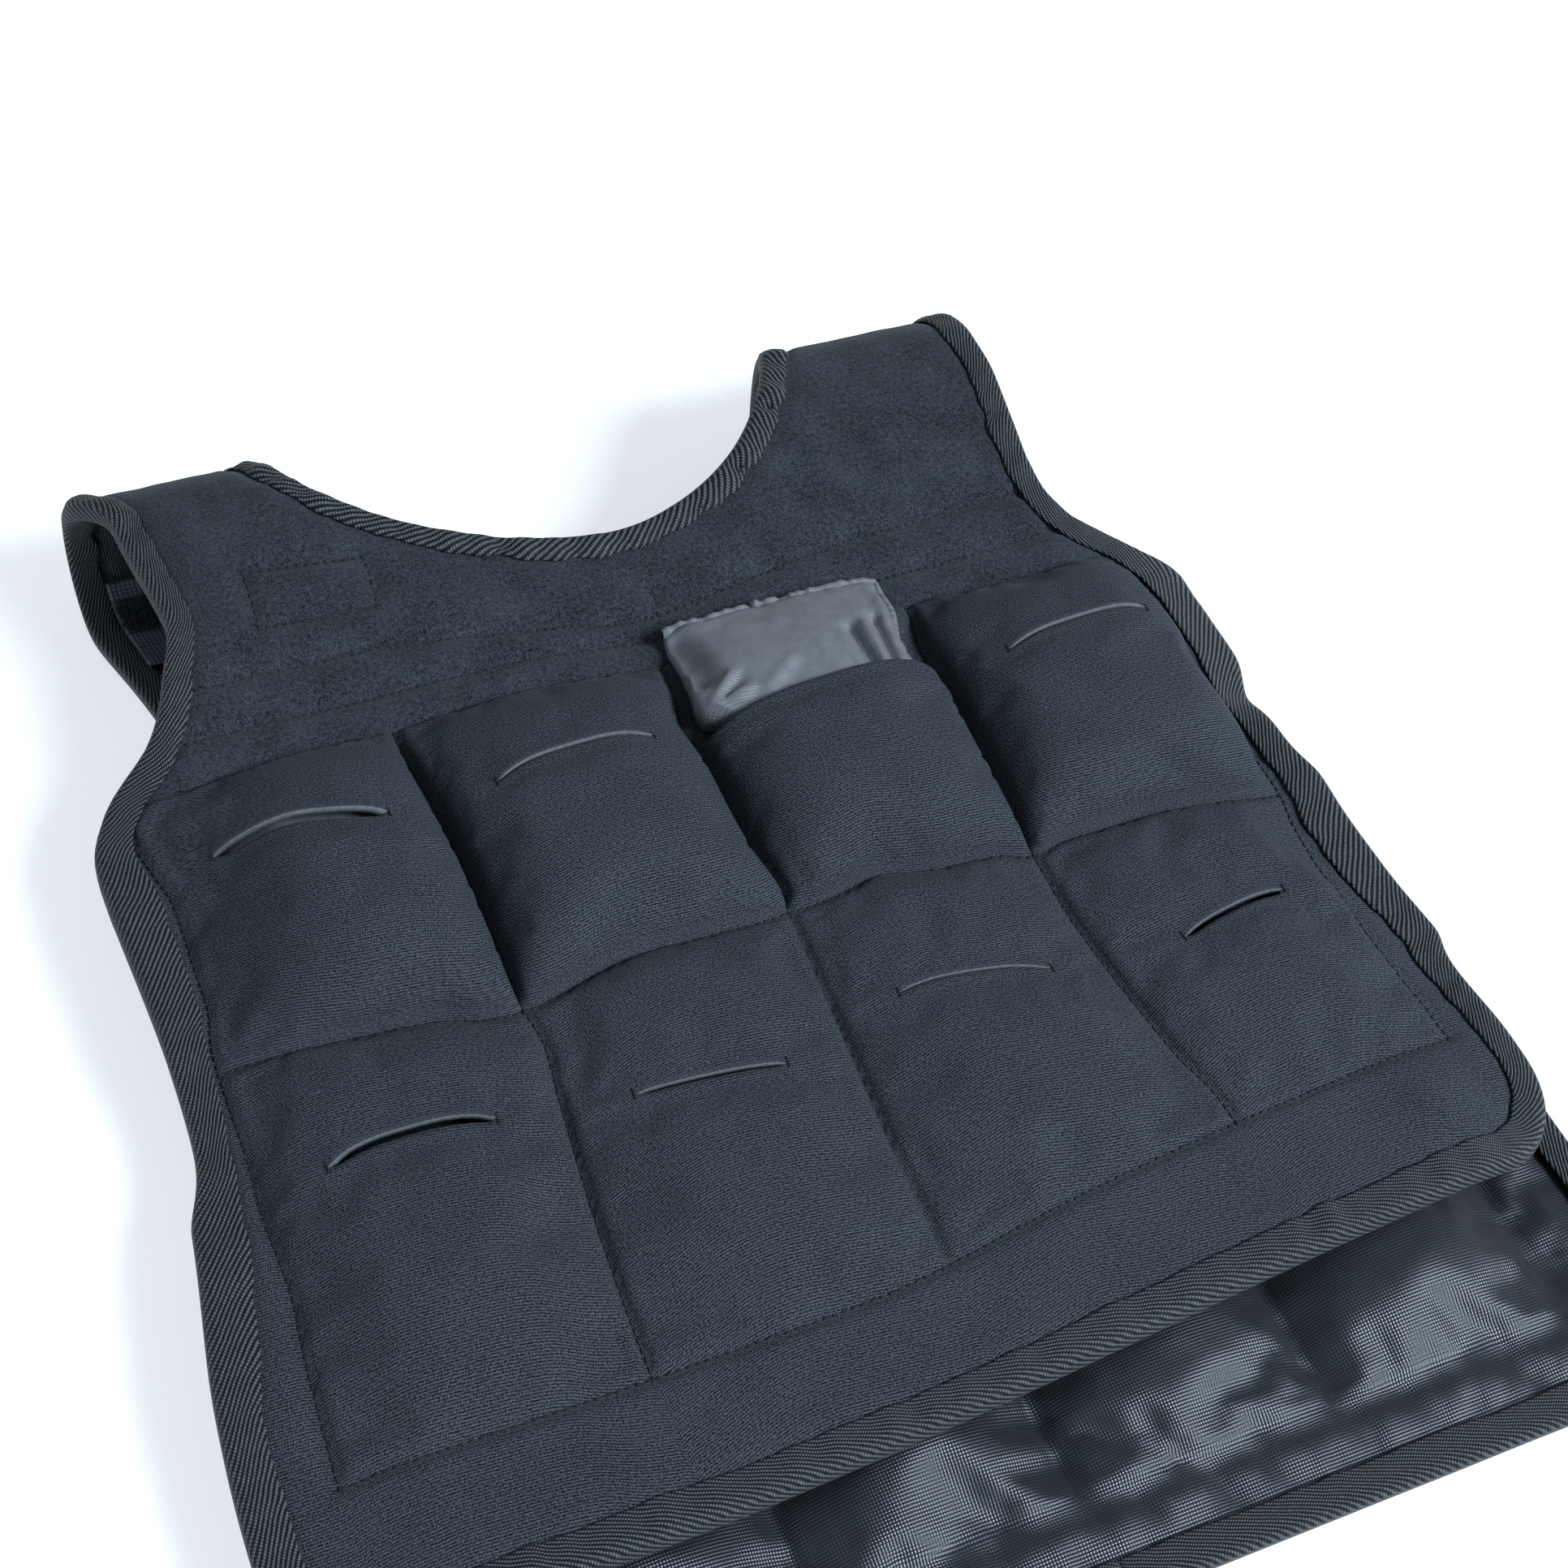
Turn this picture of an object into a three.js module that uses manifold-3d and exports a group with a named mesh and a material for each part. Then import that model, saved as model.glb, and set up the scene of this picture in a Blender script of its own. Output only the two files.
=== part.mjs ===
// A weighted training vest lying on its back on a flat surface, in millimetres, +Z up.
// One flat pattern runs from the front hem, over the shoulders, to the back hem. Every layer is drawn on that
// pattern as (across, along, out) and then laid over the body of the vest by one function, so that the layers nest.
//   across: from the middle line towards +X      along: 0 at the front yoke seam, growing over the shoulder
//   out: distance outwards from the face where the lining meets the outer cloth
import * as THREE from "three";
import { mergeVertices } from "three/addons/utils/BufferGeometryUtils.js";
import Module from "manifold-3d";

const wasm = await Module();
wasm.setup();

// Pocket grid on the front
const pocketsAcross = 4;
const pocketWidth = 95;
const upperPocketHeight = 117;
const lowerPocketHeight = 129;
const hemBand = 43;
const sideMargin = 11.5;
const hemFlare = 8;

// Yoke, shoulders and openings of the garment
const yokeHeight = 104;
const foldRadius = 27;
const strapHalfWidth = 165;
const strapFlare = 4;
const armholeDepth = 37;
const armholeRise = 45;
const neckWidth = 203;
const neckFrontDepth = 93;
const neckBackDepth = 84;
const hemCornerRadius = 28;
const backHemDrop = 61;

// Cloth and trim
const outerCloth = 3;
const yokeCloth = 3.4;
const liningCloth = 1.1;
const pileGap = 0.15;
const seamGap = 0.4;
const tapeWall = 1.2;
const tapeReach = 9;
const tapeGap = 0.5;

// Fullness
const pillowHeight = 22;
const liningPuff = 9;
const puffEdge = 12;
const puffInset = 2;
const edgeDroop = 5;
const droopReach = 40;
const backSagReach = 14;

// Pocket mouths
const slitDrop = 41;
const slitWidth = 60;
const lowerSlitWidth = 53;
const openSlitWidth = 76;
const slitOpening = 1.6;
const slitArch = 5;
const mouthFlatness = 12;

// Weight bag
const bagWidth = 72;
const bagLength = 96;
const bagOutWidth = 86;
const bagGap = 0.6;
const bagSeat = 0.3;
const bagOutLength = 43;
const bagOutShift = 8;

// Webbing and hook patch inside each shoulder
const webbingWidth = 36;
const webbingLength = 42;
const webbingThickness = 1.4;
const patchLength = 17;
const patchThickness = 1.6;
const patchRise = 4;
const webbingInset = 12;
const stripGap = 0.35;

// Sizes that follow from those above
const gridHalfWidth = (pocketsAcross * pocketWidth) / 2;
const bodyHalfWidth = gridHalfWidth + sideMargin;
const middleSeam = -upperPocketHeight;
const lowerSeam = middleSeam - lowerPocketHeight;
const frontHem = lowerSeam - hemBand;
const foldLength = Math.PI * foldRadius;
const foldStart = yokeHeight;
const foldEnd = foldStart + foldLength;
const foldTop = foldStart + foldLength / 2;
const backYokeSeam = foldEnd + foldStart;
const backHem = backYokeSeam - frontHem + backHemDrop;
const outerTop = pileGap + outerCloth;
const yokeTop = pileGap + yokeCloth;
const liningLow = -pileGap - liningCloth;
const tapeTop = yokeTop + tapeGap + tapeWall;
const backFlat = outerTop;
const backEdge = tapeTop;
const shoulderHeight = backEdge + 2 * foldRadius;

// Half width of the cloth beside the armhole: at is the share of the way from its foot to the strap,
// wide the share of the step from the strap to the body that is left.
const armholeCurve = [
  { at: 0, wide: 1 },
  { at: 0.3, wide: 0.95 },
  { at: 0.45, wide: 0.78 },
  { at: 0.53, wide: 0.63 },
  { at: 0.66, wide: 0.28 },
  { at: 0.82, wide: 0.06 },
  { at: 1, wide: 0 },
];

// Height of the front panel above the surface, as a share of the height at the shoulder.
const frontProfile = [
  { along: frontHem, high: 0.42 },
  { along: lowerSeam, high: 0.46 },
  { along: middleSeam, high: 0.51 },
  { along: 0, high: 0.57 },
  { along: 0.5 * yokeHeight, high: 0.83 },
  { along: 0.82 * yokeHeight, high: 0.98 },
  { along: foldStart, high: 1 },
];

// How the lying cloth is pushed along the surface at each pocket seam, from the left edge to the right one,
// as shares of a pocket's width. x is across and y is towards the neck.
const layRows = [
  { along: frontHem, x: [-0.03, -0.06, -0.07, 0.05, 0], y: [-0.06, -0.06, 0, 0.1, 0.17] },
  { along: lowerSeam, x: [-0.03, -0.07, -0.07, 0.08, -0.02], y: [-0.04, -0.04, 0, 0.11, 0.16] },
  { along: middleSeam, x: [0.02, 0.01, 0.01, -0.05, -0.02], y: [0.05, -0.03, 0.06, 0, -0.07] },
  { along: 0, x: [-0.02, -0.02, 0, 0.01, 0], y: [-0.03, 0.03, 0, 0.03, 0] },
  { along: 0.5 * yokeHeight, x: [0, -0.02, 0, 0, 0], y: [0, 0, 0, 0, 0] },
  { along: foldStart, x: [0, -0.12, -0.1, -0.08, 0.02], y: [0, 0, 0, 0, 0] },
  { along: foldEnd, x: [0, -0.12, -0.1, -0.08, 0.02], y: [0, 0, 0, 0, 0] },
  { along: backYokeSeam, x: [0.09, 0.05, 0.03, 0.02, 0.03], y: [0, 0, 0, 0, 0] },
  { along: backHem, x: [0.12, 0.1, 0.07, 0.05, 0.05], y: [0, 0, 0, 0, 0] },
];

// Each pocket: how full it is, as a share of the pillow height, the width of its mouth, how much lower than
// the others the mouth sits, as a share of the slit drop, and its tilt, as a share of its width.
const pockets = [
  { row: "upper", column: 0, fill: 1, mouth: slitWidth, lower: 0, tilt: -0.1, bag: true },
  { row: "upper", column: 1, fill: 0.95, mouth: slitWidth, lower: 0, tilt: 0, bag: true },
  { row: "upper", column: 2, fill: 1, mouth: openSlitWidth, lower: 0, tilt: 0, bag: true, bagOut: true },
  { row: "upper", column: 3, fill: 1, mouth: slitWidth, lower: 0, tilt: 0.1, bag: true },
  { row: "lower", column: 0, fill: 0.4, mouth: lowerSlitWidth, lower: 0, tilt: 0.04 },
  { row: "lower", column: 1, fill: 0.36, mouth: lowerSlitWidth, lower: 0.22, tilt: -0.22 },
  { row: "lower", column: 2, fill: 0.36, mouth: lowerSlitWidth, lower: 0.18, tilt: -0.14 },
  { row: "lower", column: 3, fill: 0.42, mouth: lowerSlitWidth, lower: 0.2, tilt: 0.2 },
];

const clamp = (v, low, high) => Math.min(high, Math.max(low, v));
const smooth = (v) => clamp(v, 0, 1) ** 2 * (3 - 2 * clamp(v, 0, 1));
const mix = (a, b, k) => a + (b - a) * k;

// A smooth value through the rows of a table, read at one position. Past either end it stays level.
function through(rows, place, value, at) {
  const last = rows.length - 1;
  if (at <= place(rows[0])) return value(rows[0]);
  if (at >= place(rows[last])) return value(rows[last]);
  let i = 0;
  while (at > place(rows[i + 1])) i++;
  const slope = (k) => {
    const a = rows[Math.max(0, k - 1)];
    const b = rows[Math.min(last, k + 1)];
    return (value(b) - value(a)) / (place(b) - place(a));
  };
  const step = place(rows[i + 1]) - place(rows[i]);
  const u = (at - place(rows[i])) / step;
  const rise = value(rows[i + 1]) - value(rows[i]);
  const start = slope(i) * step;
  const end = slope(i + 1) * step;
  return value(rows[i]) + u * (start + u * (3 * rise - 2 * start - end + u * (start + end - 2 * rise)));
}

// Distance along the pattern from the yoke seam of whichever panel the point is on, downwards negative.
const panelAlong = (along) => (along <= foldTop ? Math.min(along, foldStart) : Math.min(foldStart, backYokeSeam - along));

// Half width of the cloth at one level.
function halfWidth(along) {
  const level = panelAlong(along);
  const at = (level + armholeDepth) / (armholeDepth + armholeRise);
  const wide = through(armholeCurve, (r) => r.at, (r) => r.wide, at);
  const flare = strapFlare * smooth((level - armholeRise) / (foldStart - armholeRise));
  const hem = hemFlare * smooth((middleSeam - level) / lowerPocketHeight);
  return mix(strapHalfWidth, bodyHalfWidth, wide) + flare + hem;
}

// Half width of the neck hole at one level, or 0 outside it.
function neckHalfWidth(along) {
  const depth = along < foldTop ? neckFrontDepth : neckBackDepth;
  const share = Math.abs(along - foldTop) / depth;
  return share >= 1 ? 0 : (neckWidth / 2) * (1 - share ** 2) ** 0.53;
}

// Levels where the layers have rows of vertices, so that they nest where the pattern curves.
function levels(from, to, count) {
  return Array.from({ length: count + 1 }, (_, i) => mix(from, to, i / count));
}
const unique = (values) => [...new Set(values.map((v) => +v.toFixed(6)))].sort((a, b) => a - b);
const pocketShares = [-1, -0.84, -0.5, 0, 0.5, 0.84, 1];
const pocketLevels = (low, high) => pocketShares.map((v) => mix(low, high, (v + 1) / 2));
const upperLevels = pocketLevels(middleSeam, 0);
const lowerLevels = pocketLevels(lowerSeam, middleSeam);
const foldLevels = levels(foldStart, foldEnd, 12);
const yokeLevels = levels(0, foldStart, 8);
const sagStart = backYokeSeam + armholeDepth;
const sagEnd = backHem - hemCornerRadius;
const sagLevels = [sagStart, sagStart + backSagReach, sagEnd - backSagReach, sagEnd];
const puffHalfWidth = gridHalfWidth - backSagReach;
const sagLines = [-gridHalfWidth, -puffHalfWidth, puffHalfWidth, gridHalfWidth];
const droopShares = levels(0.25, 1, 3);
const droopLines = [-1, 1].flatMap((side) => droopShares.map((k) => side * (bodyHalfWidth - k * droopReach)));
const armholeLevels = levels(-armholeDepth, armholeRise, 7);
const edgeLevels = [
  lowerSeam,
  middleSeam,
  ...upperLevels.filter((t) => t < -armholeDepth),
  ...armholeLevels,
  ...yokeLevels.filter((t) => t > armholeRise),
  ...foldLevels,
  ...armholeLevels.map((t) => backYokeSeam - t),
  ...sagLevels,
];

// The cut edge of the whole pattern, right side first, with round hem corners.
function outlinePoints() {
  const low = frontHem + hemCornerRadius;
  const high = backHem - hemCornerRadius;
  const side = unique(edgeLevels).filter((t) => t > low + 1 && t < high - 1);
  const right = [];
  const corner = (centreAlong, from, to) => {
    for (const angle of levels(from, to, 5)) {
      const across = halfWidth(centreAlong) - hemCornerRadius;
      right.push([
        across + hemCornerRadius * Math.cos(angle),
        centreAlong + hemCornerRadius * Math.sin(angle),
      ]);
    }
  };
  corner(frontHem + hemCornerRadius, -Math.PI / 2, 0);
  for (const t of side) right.push([halfWidth(t), t]);
  corner(backHem - hemCornerRadius, 0, Math.PI / 2);
  const hemLines = [
    ...[0, 0.3, 0.6, 0.85].map((k) => k * (bodyHalfWidth - droopReach)),
    ...unique(droopLines).filter((s) => s > 0 && s < bodyHalfWidth - hemCornerRadius),
  ];
  const half = [
    ...hemLines.map((s) => [s, frontHem]),
    ...right,
    ...hemLines.map((s) => [s, backHem]).reverse(),
  ];
  const mirrored = half.slice(1, -1).reverse().map(([s, t]) => [-s, t]);
  return [...half, ...mirrored];
}

// The neck hole, drawn with closer points at its two rounded ends.
function neckPoints() {
  const ends = [0.02, 0.08, 0.18, 0.32];
  const front = ends.map((k) => foldTop - neckFrontDepth * (1 - k));
  const back = ends.map((k) => foldTop + neckBackDepth * (1 - k));
  const sides = unique([...levels(0, foldStart, 16), ...foldLevels]).filter((t) => t > front[3] + 3 && t < back[3] - 3);
  const right = [...front, ...sides, ...back.reverse()].map((t) => [neckHalfWidth(t), t]);
  const left = right.map(([s, t]) => [-s, t]).reverse();
  return [[0, foldTop - neckFrontDepth], ...right, [0, foldTop + neckBackDepth], ...left];
}

const outline = outlinePoints();
const neck = neckPoints();

// Shortest distance from a pattern point to the cut edge of the outline.
function edgeDistance(across, along) {
  let best = Infinity;
  outline.forEach(([ax, ay], i) => {
    const [bx, by] = outline[(i + 1) % outline.length];
    const dx = bx - ax;
    const dy = by - ay;
    const k = clamp(((across - ax) * dx + (along - ay) * dy) / (dx * dx + dy * dy), 0, 1);
    best = Math.min(best, Math.hypot(across - ax - k * dx, along - ay - k * dy));
  });
  return best;
}

// The lying cloth's push along the surface at a pattern point.
function lay(across, along, key) {
  const columns = [0, 1, 2, 3, 4].map((i) => ({
    across: mix(-gridHalfWidth, gridHalfWidth, i / 4),
    value: through(layRows, (r) => r.along, (r) => r[key][i], along),
  }));
  return pocketWidth * through(columns, (c) => c.across, (c) => c.value, across);
}

// Carries a pattern point to where it lies.
function place(across, along, out) {
  const x = across + lay(across, along, "x");
  const push = lay(across, along, "y");
  if (along <= foldStart) {
    const droop = edgeDroop * smooth((Math.abs(across) - bodyHalfWidth + droopReach) / droopReach);
    const flat = smooth((foldStart - along) / yokeHeight);
    const high = shoulderHeight * through(frontProfile, (r) => r.along, (r) => r.high, along);
    return [x, along + push, high - droop * flat + out];
  }
  if (along < foldEnd) {
    const angle = (along - foldStart) / foldRadius;
    const reach = foldRadius + out;
    return [x, foldStart + push + reach * Math.sin(angle), backEdge + foldRadius + reach * Math.cos(angle)];
  }
  const y = foldStart - (along - foldEnd);
  const inside = clamp((gridHalfWidth - Math.abs(across)) / (gridHalfWidth - puffHalfWidth), 0, 1);
  const below = clamp((along - sagStart) / backSagReach, 0, 1);
  const above = clamp((sagEnd - along) / backSagReach, 0, 1);
  return [x, y + push, mix(backEdge, backFlat, inside * below * above) - out];
}

// Across and along, each from -1 to 1, inside the pocket that holds a pattern point, or null outside the grid.
function inPocket(across, along) {
  const slack = 1e-6;
  if (Math.abs(across) > gridHalfWidth + slack || along > slack || along < lowerSeam - slack) return null;
  const column = clamp(Math.floor((across + gridHalfWidth) / pocketWidth), 0, pocketsAcross - 1);
  const row = along > middleSeam ? "upper" : "lower";
  const top = row === "upper" ? 0 : middleSeam;
  const height = row === "upper" ? upperPocketHeight : lowerPocketHeight;
  return {
    pocket: pockets.find((p) => p.row === row && p.column === column),
    across: ((across + gridHalfWidth) / pocketWidth - column) * 2 - 1,
    along: ((along - top) / height) * 2 + 1,
    slit: top - slitDrop,
  };
}

// A pillow's height from 0 at its seams to 1 in the middle, and its share left beside the edge tape.
const pillow = (k) => Math.max(0, 1 - Math.abs(k) ** 3.2) ** 0.55;
const besideTape = (s, t) => smooth((edgeDistance(s, t) - tapeReach - puffInset) / puffEdge);

// How far the outer cloth stands up over a pocket.
function bulge(across, along) {
  const at = inPocket(across, along);
  if (!at) return 0;
  const full = pillowHeight * at.pocket.fill * besideTape(across, along);
  if (!at.pocket.bagOut) return full * pillow(at.across) * pillow(at.along);
  // The bag stands out of this mouth: the lip below stays up, and the strip above lies flat under the bag.
  const lip = full * pillow(at.across) * pillow(Math.min(at.along, 0));
  if (along <= at.slit) return lip;
  const inMouth = Math.abs(at.across) * pocketWidth < at.pocket.mouth ? 1 : 0;
  return lip * (1 - Math.max(inMouth, smooth((along - at.slit) / mouthFlatness)));
}

// How far the back lining stands up between its seams.
function liningBulge(across, along) {
  const level = backYokeSeam - along;
  if (level > 0 || level < frontHem - backHemDrop) return 0;
  const rows = [0, middleSeam, lowerSeam, backYokeSeam - sagEnd];
  const low = rows.findIndex((r) => level >= r);
  if (low < 1 || Math.abs(across) >= puffHalfWidth) return 0;
  const u = ((((across + puffHalfWidth) * pocketsAcross) / (2 * puffHalfWidth)) % 1) * 2 - 1;
  const v = ((level - rows[low]) / (rows[low - 1] - rows[low])) * 2 - 1;
  return liningPuff * pillow(u) * pillow(v) * besideTape(across, along);
}

// A closed mesh as a solid that can be joined and cut. Each triangle keeps its own mark, so that no row is lost.
function toSolid(positions, triangles) {
  return new wasm.Manifold(
    new wasm.Mesh({
      numProp: 3,
      vertProperties: new Float32Array(positions.flat()),
      triVerts: new Uint32Array(triangles.flat()),
      faceID: new Uint32Array(triangles.map((_, i) => i)),
    }),
  );
}

// A slab from out 0 to out 1 with a row of vertices at every given line.
function slab(acrossLines, alongLines) {
  const columns = acrossLines.length;
  const rows = alongLines.length;
  const positions = [];
  for (const out of [0, 1]) {
    for (const t of alongLines) {
      for (const s of acrossLines) positions.push([s, t, out]);
    }
  }
  const at = (layer, row, column) => (layer * rows + row) * columns + column;
  const triangles = [];
  const quad = (a, b, c, d) => triangles.push([a, b, c], [a, c, d]);
  for (let r = 0; r < rows - 1; r++) {
    for (let c = 0; c < columns - 1; c++) {
      quad(at(1, r, c), at(1, r, c + 1), at(1, r + 1, c + 1), at(1, r + 1, c));
      quad(at(0, r, c), at(0, r + 1, c), at(0, r + 1, c + 1), at(0, r, c + 1));
    }
  }
  for (let c = 0; c < columns - 1; c++) {
    quad(at(0, 0, c), at(0, 0, c + 1), at(1, 0, c + 1), at(1, 0, c));
    quad(at(0, rows - 1, c + 1), at(0, rows - 1, c), at(1, rows - 1, c), at(1, rows - 1, c + 1));
  }
  for (let r = 0; r < rows - 1; r++) {
    quad(at(0, r + 1, 0), at(0, r, 0), at(1, r, 0), at(1, r + 1, 0));
    quad(at(0, r, columns - 1), at(0, r + 1, columns - 1), at(1, r + 1, columns - 1), at(1, r, columns - 1));
  }
  return toSolid(positions, triangles);
}

// A prism that runs through the slab, over any outline.
function prism(points) {
  const shape = new THREE.Shape(points.map(([s, t]) => new THREE.Vector2(s, t)));
  const depth = 3;
  const geometry = new THREE.ExtrudeGeometry(shape, { depth, bevelEnabled: false });
  geometry.translate(0, 0, (1 - depth) / 2);
  geometry.deleteAttribute("normal");
  geometry.deleteAttribute("uv");
  const merged = mergeVertices(geometry, 1e-4);
  return new wasm.Manifold(
    new wasm.Mesh({
      numProp: 3,
      vertProperties: merged.attributes.position.array,
      triVerts: new Uint32Array(merged.index.array),
    }),
  );
}

// The part of the pattern between two levels, cut to the outline and the neck, laid over the vest.
// inner and outer give the distances of the two faces from the lining face.
function sheet({ from, to, acrossLines, alongLines, inner, outer, cuts = [] }) {
  const reach = bodyHalfWidth + hemFlare + 10;
  const inside = unique(alongLines).filter((t) => t > from && t < to);
  let flat = slab([-reach, ...acrossLines, reach], [from, ...inside, to]);
  flat = flat.intersect(prism(outline));
  for (const points of [neck, ...cuts]) flat = flat.subtract(prism(points));
  const mesh = flat.getMesh();
  const positions = new Float32Array(mesh.numVert * 3);
  for (let i = 0; i < mesh.numVert; i++) {
    const [s, t, out] = mesh.vertProperties.subarray(i * mesh.numProp, i * mesh.numProp + 3);
    positions.set(place(s, t, out > 0.5 ? outer(s, t) : inner(s, t)), i * 3);
  }
  return new THREE.BufferGeometry()
    .setAttribute("position", new THREE.BufferAttribute(positions, 3))
    .setIndex(new THREE.BufferAttribute(mesh.triVerts, 1));
}

// A ring of cross sections closed into one skin. Each section is a list of points, all of one length.
function loft(sections, closed) {
  const size = sections[0].length;
  const count = sections.length;
  const positions = sections.flat(2);
  const index = [];
  const last = closed ? count : count - 1;
  const corner = (i) => new THREE.Vector3().fromArray(positions, 3 * i);
  for (let i = 0; i < last; i++) {
    for (let k = 0; k < size; k++) {
      const a = i * size + k;
      const b = i * size + ((k + 1) % size);
      const c = ((i + 1) % count) * size + ((k + 1) % size);
      const d = ((i + 1) % count) * size + k;
      const short = corner(a).distanceTo(corner(c)) <= corner(b).distanceTo(corner(d));
      index.push(...(short ? [a, b, c, a, c, d] : [a, b, d, b, c, d]));
    }
  }
  if (!closed) {
    for (let k = 1; k < size - 1; k++) {
      index.push(0, k + 1, k);
      index.push((count - 1) * size, (count - 1) * size + k, (count - 1) * size + k + 1);
    }
  }
  return new THREE.BufferGeometry()
    .setAttribute("position", new THREE.BufferAttribute(new Float32Array(positions), 3))
    .setIndex(index);
}

// Edge tape folded over a cut edge: a channel that holds the outer cloth and the lining. Where the cloth turns
// over the shoulder, each section keeps to one level, so that it nests with the rows of the cloth.
// turn is 1 where the cloth lies to the left of the way the points run, and -1 where it lies to the right.
function tape(points, turn) {
  const sections = points.map(([s, t], i) => {
    const [bs, bt] = points[(i + points.length - 1) % points.length];
    const [cs, ct] = points[(i + 1) % points.length];
    const long = Math.hypot(cs - bs, ct - bt);
    const square = [(-turn * (ct - bt)) / long, (turn * (cs - bs)) / long];
    const folded = t > foldStart - 0.01 && t < foldEnd + 0.01;
    const into = folded ? [1 / square[0], 0] : square;
    const high = yokeTop + tapeGap;
    const low = liningLow - tapeGap;
    const profile = [
      [tapeReach, high + tapeWall],
      [-tapeGap - tapeWall, high + tapeWall],
      [-tapeGap - tapeWall, low - tapeWall],
      [tapeReach, low - tapeWall],
      [tapeReach, low],
      [-tapeGap, low],
      [-tapeGap, high],
      [tapeReach, high],
    ];
    return profile.map(([depth, out]) => place(s + depth * into[0], t + depth * into[1], out));
  });
  if (turn < 0) sections.forEach((section) => section.reverse());
  return loft(sections, true);
}

// The mouth of a pocket, cut as a thin arched slot.
function slitPoints(pocket) {
  const centre = -gridHalfWidth + pocketWidth * (pocket.column + 0.5);
  const top = pocket.row === "upper" ? 0 : middleSeam;
  const shares = [-1, -0.6, 0, 0.6, 1];
  const arch = pocket.bagOut ? 0 : slitArch;
  const middle = top - slitDrop * (1 + pocket.lower);
  const line = (offset) =>
    shares.map((k) => [
      centre + (k * pocket.mouth) / 2,
      middle + (k * pocket.tilt * pocket.mouth) / 2 + arch * (1 - k * k) + (Math.abs(k) < 1 ? offset : offset / 2),
    ]);
  return [...line(-slitOpening / 2), ...line(slitOpening / 2).reverse()];
}

// A filled bag: rounded sections along its length. Rows give along, low and high faces, half width and shift.
function bagGeometry(centre, rows) {
  const corners = 16;
  const sections = rows.map(({ along, low, high, half, shift = 0 }) =>
    Array.from({ length: corners }, (_, k) => {
      const angle = (2 * Math.PI * k) / corners;
      const round = (v) => Math.sign(v) * Math.abs(v) ** 0.72;
      return place(
        centre - shift + half * round(Math.cos(angle)),
        along,
        (low + high) / 2 + ((high - low) / 2) * round(Math.sin(angle)),
      );
    }),
  );
  return loft(sections.reverse(), false);
}

// A bag that lies wholly inside its pocket. Its top keeps clear of the cloth above it.
function bagInside(pocket) {
  const centre = -gridHalfWidth + pocketWidth * (pocket.column + 0.5);
  const middle = -upperPocketHeight / 2;
  const low = bagSeat - pileGap;
  const room = pillowHeight * pocket.fill - low - bagGap;
  const shape = [
    { at: -1, thick: 0.15, wide: 0.75 },
    { at: -0.9, thick: 0.5, wide: 0.9 },
    { at: -0.65, thick: 0.76, wide: 1 },
    { at: 0, thick: 0.9, wide: 1 },
    { at: 0.65, thick: 0.76, wide: 1 },
    { at: 0.9, thick: 0.5, wide: 0.9 },
    { at: 1, thick: 0.15, wide: 0.75 },
  ];
  return bagGeometry(
    centre,
    shape.map(({ at, thick, wide }) => ({
      along: middle + (at * bagLength) / 2,
      low,
      high: low + room * thick,
      half: (bagWidth / 2) * wide,
    })),
  );
}

// The bag that stands out of its pocket, over the flat strip above the mouth and up to the yoke.
function bagOutside(pocket) {
  const centre = -gridHalfWidth + pocketWidth * (pocket.column + 0.5);
  const low = bagSeat - pileGap;
  const lip = pillowHeight * pocket.fill - bagGap;
  const over = outerTop + bagGap;
  const slit = -slitDrop;
  const inside = [
    { at: -0.55, low, high: 0.3, wide: 0.72 },
    { at: -0.46, low, high: 0.66, wide: 0.88 },
    { at: -0.27, low, high: 0.9, wide: 0.98 },
    { at: -0.05, low: over, high: 0.95, wide: 0.9 },
  ];
  const outside = [
    { at: 0.1, low: over, high: 1.02, wide: 0.78, shift: 0.25 },
    { at: 0.4, low: over, high: 1.1, wide: 0.94, shift: 0.7 },
    { at: 0.8, low: over, high: 1.05, wide: 1, shift: 1 },
    { at: 1, low: over + 5, high: 0.85, wide: 0.98, shift: 1 },
  ];
  return bagGeometry(centre, [
    ...inside.map((r) => ({
      along: slit + r.at * bagLength,
      low: r.low,
      high: r.high * lip,
      half: (r.wide * bagWidth) / 2,
    })),
    ...outside.map((r) => ({
      along: slit + r.at * bagOutLength,
      low: r.low,
      high: r.high * lip,
      half: (r.wide * bagOutWidth) / 2,
      shift: r.shift * bagOutShift,
    })),
  ]);
}

// A strip on the inner face of the shoulder, where it turns to the back: side -1 on the left, 1 on the right.
function insideStrip(side, middle, length, low, thickness) {
  const outerEdge = strapHalfWidth + strapFlare - webbingInset;
  const [left, right] = [side * outerEdge, side * (outerEdge - webbingWidth)].sort((a, b) => a - b);
  const start = middle - length / 2;
  const end = middle + length / 2;
  const rows = unique([start, ...foldLevels.filter((t) => t > start + 1 && t < end - 1), end]);
  const section = (along) => [
    place(left, along, -low),
    place(right, along, -low),
    place(right, along, -low - thickness),
    place(left, along, -low - thickness),
  ];
  return loft(rows.map(section), false);
}

const vest = new THREE.Group();

function add(name, geometry, material) {
  const mesh = new THREE.Mesh(geometry, material);
  mesh.name = name;
  mesh.geometry.computeVertexNormals();
  vest.add(mesh);
}

const cloth = (color, roughness) => new THREE.MeshStandardMaterial({ color, roughness, metalness: 0 });
const neoprene = cloth(0x2a3036, 0.9);
const pile = cloth(0x2e363b, 1);
const liningNylon = cloth(0x14181d, 0.45);
const ribbedTape = cloth(0x262b2f, 0.75);
const satin = cloth(0x4b5158, 0.4);
const webbing = cloth(0x1d2226, 0.7);
const hook = cloth(0x0d0f11, 0.8);

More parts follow.
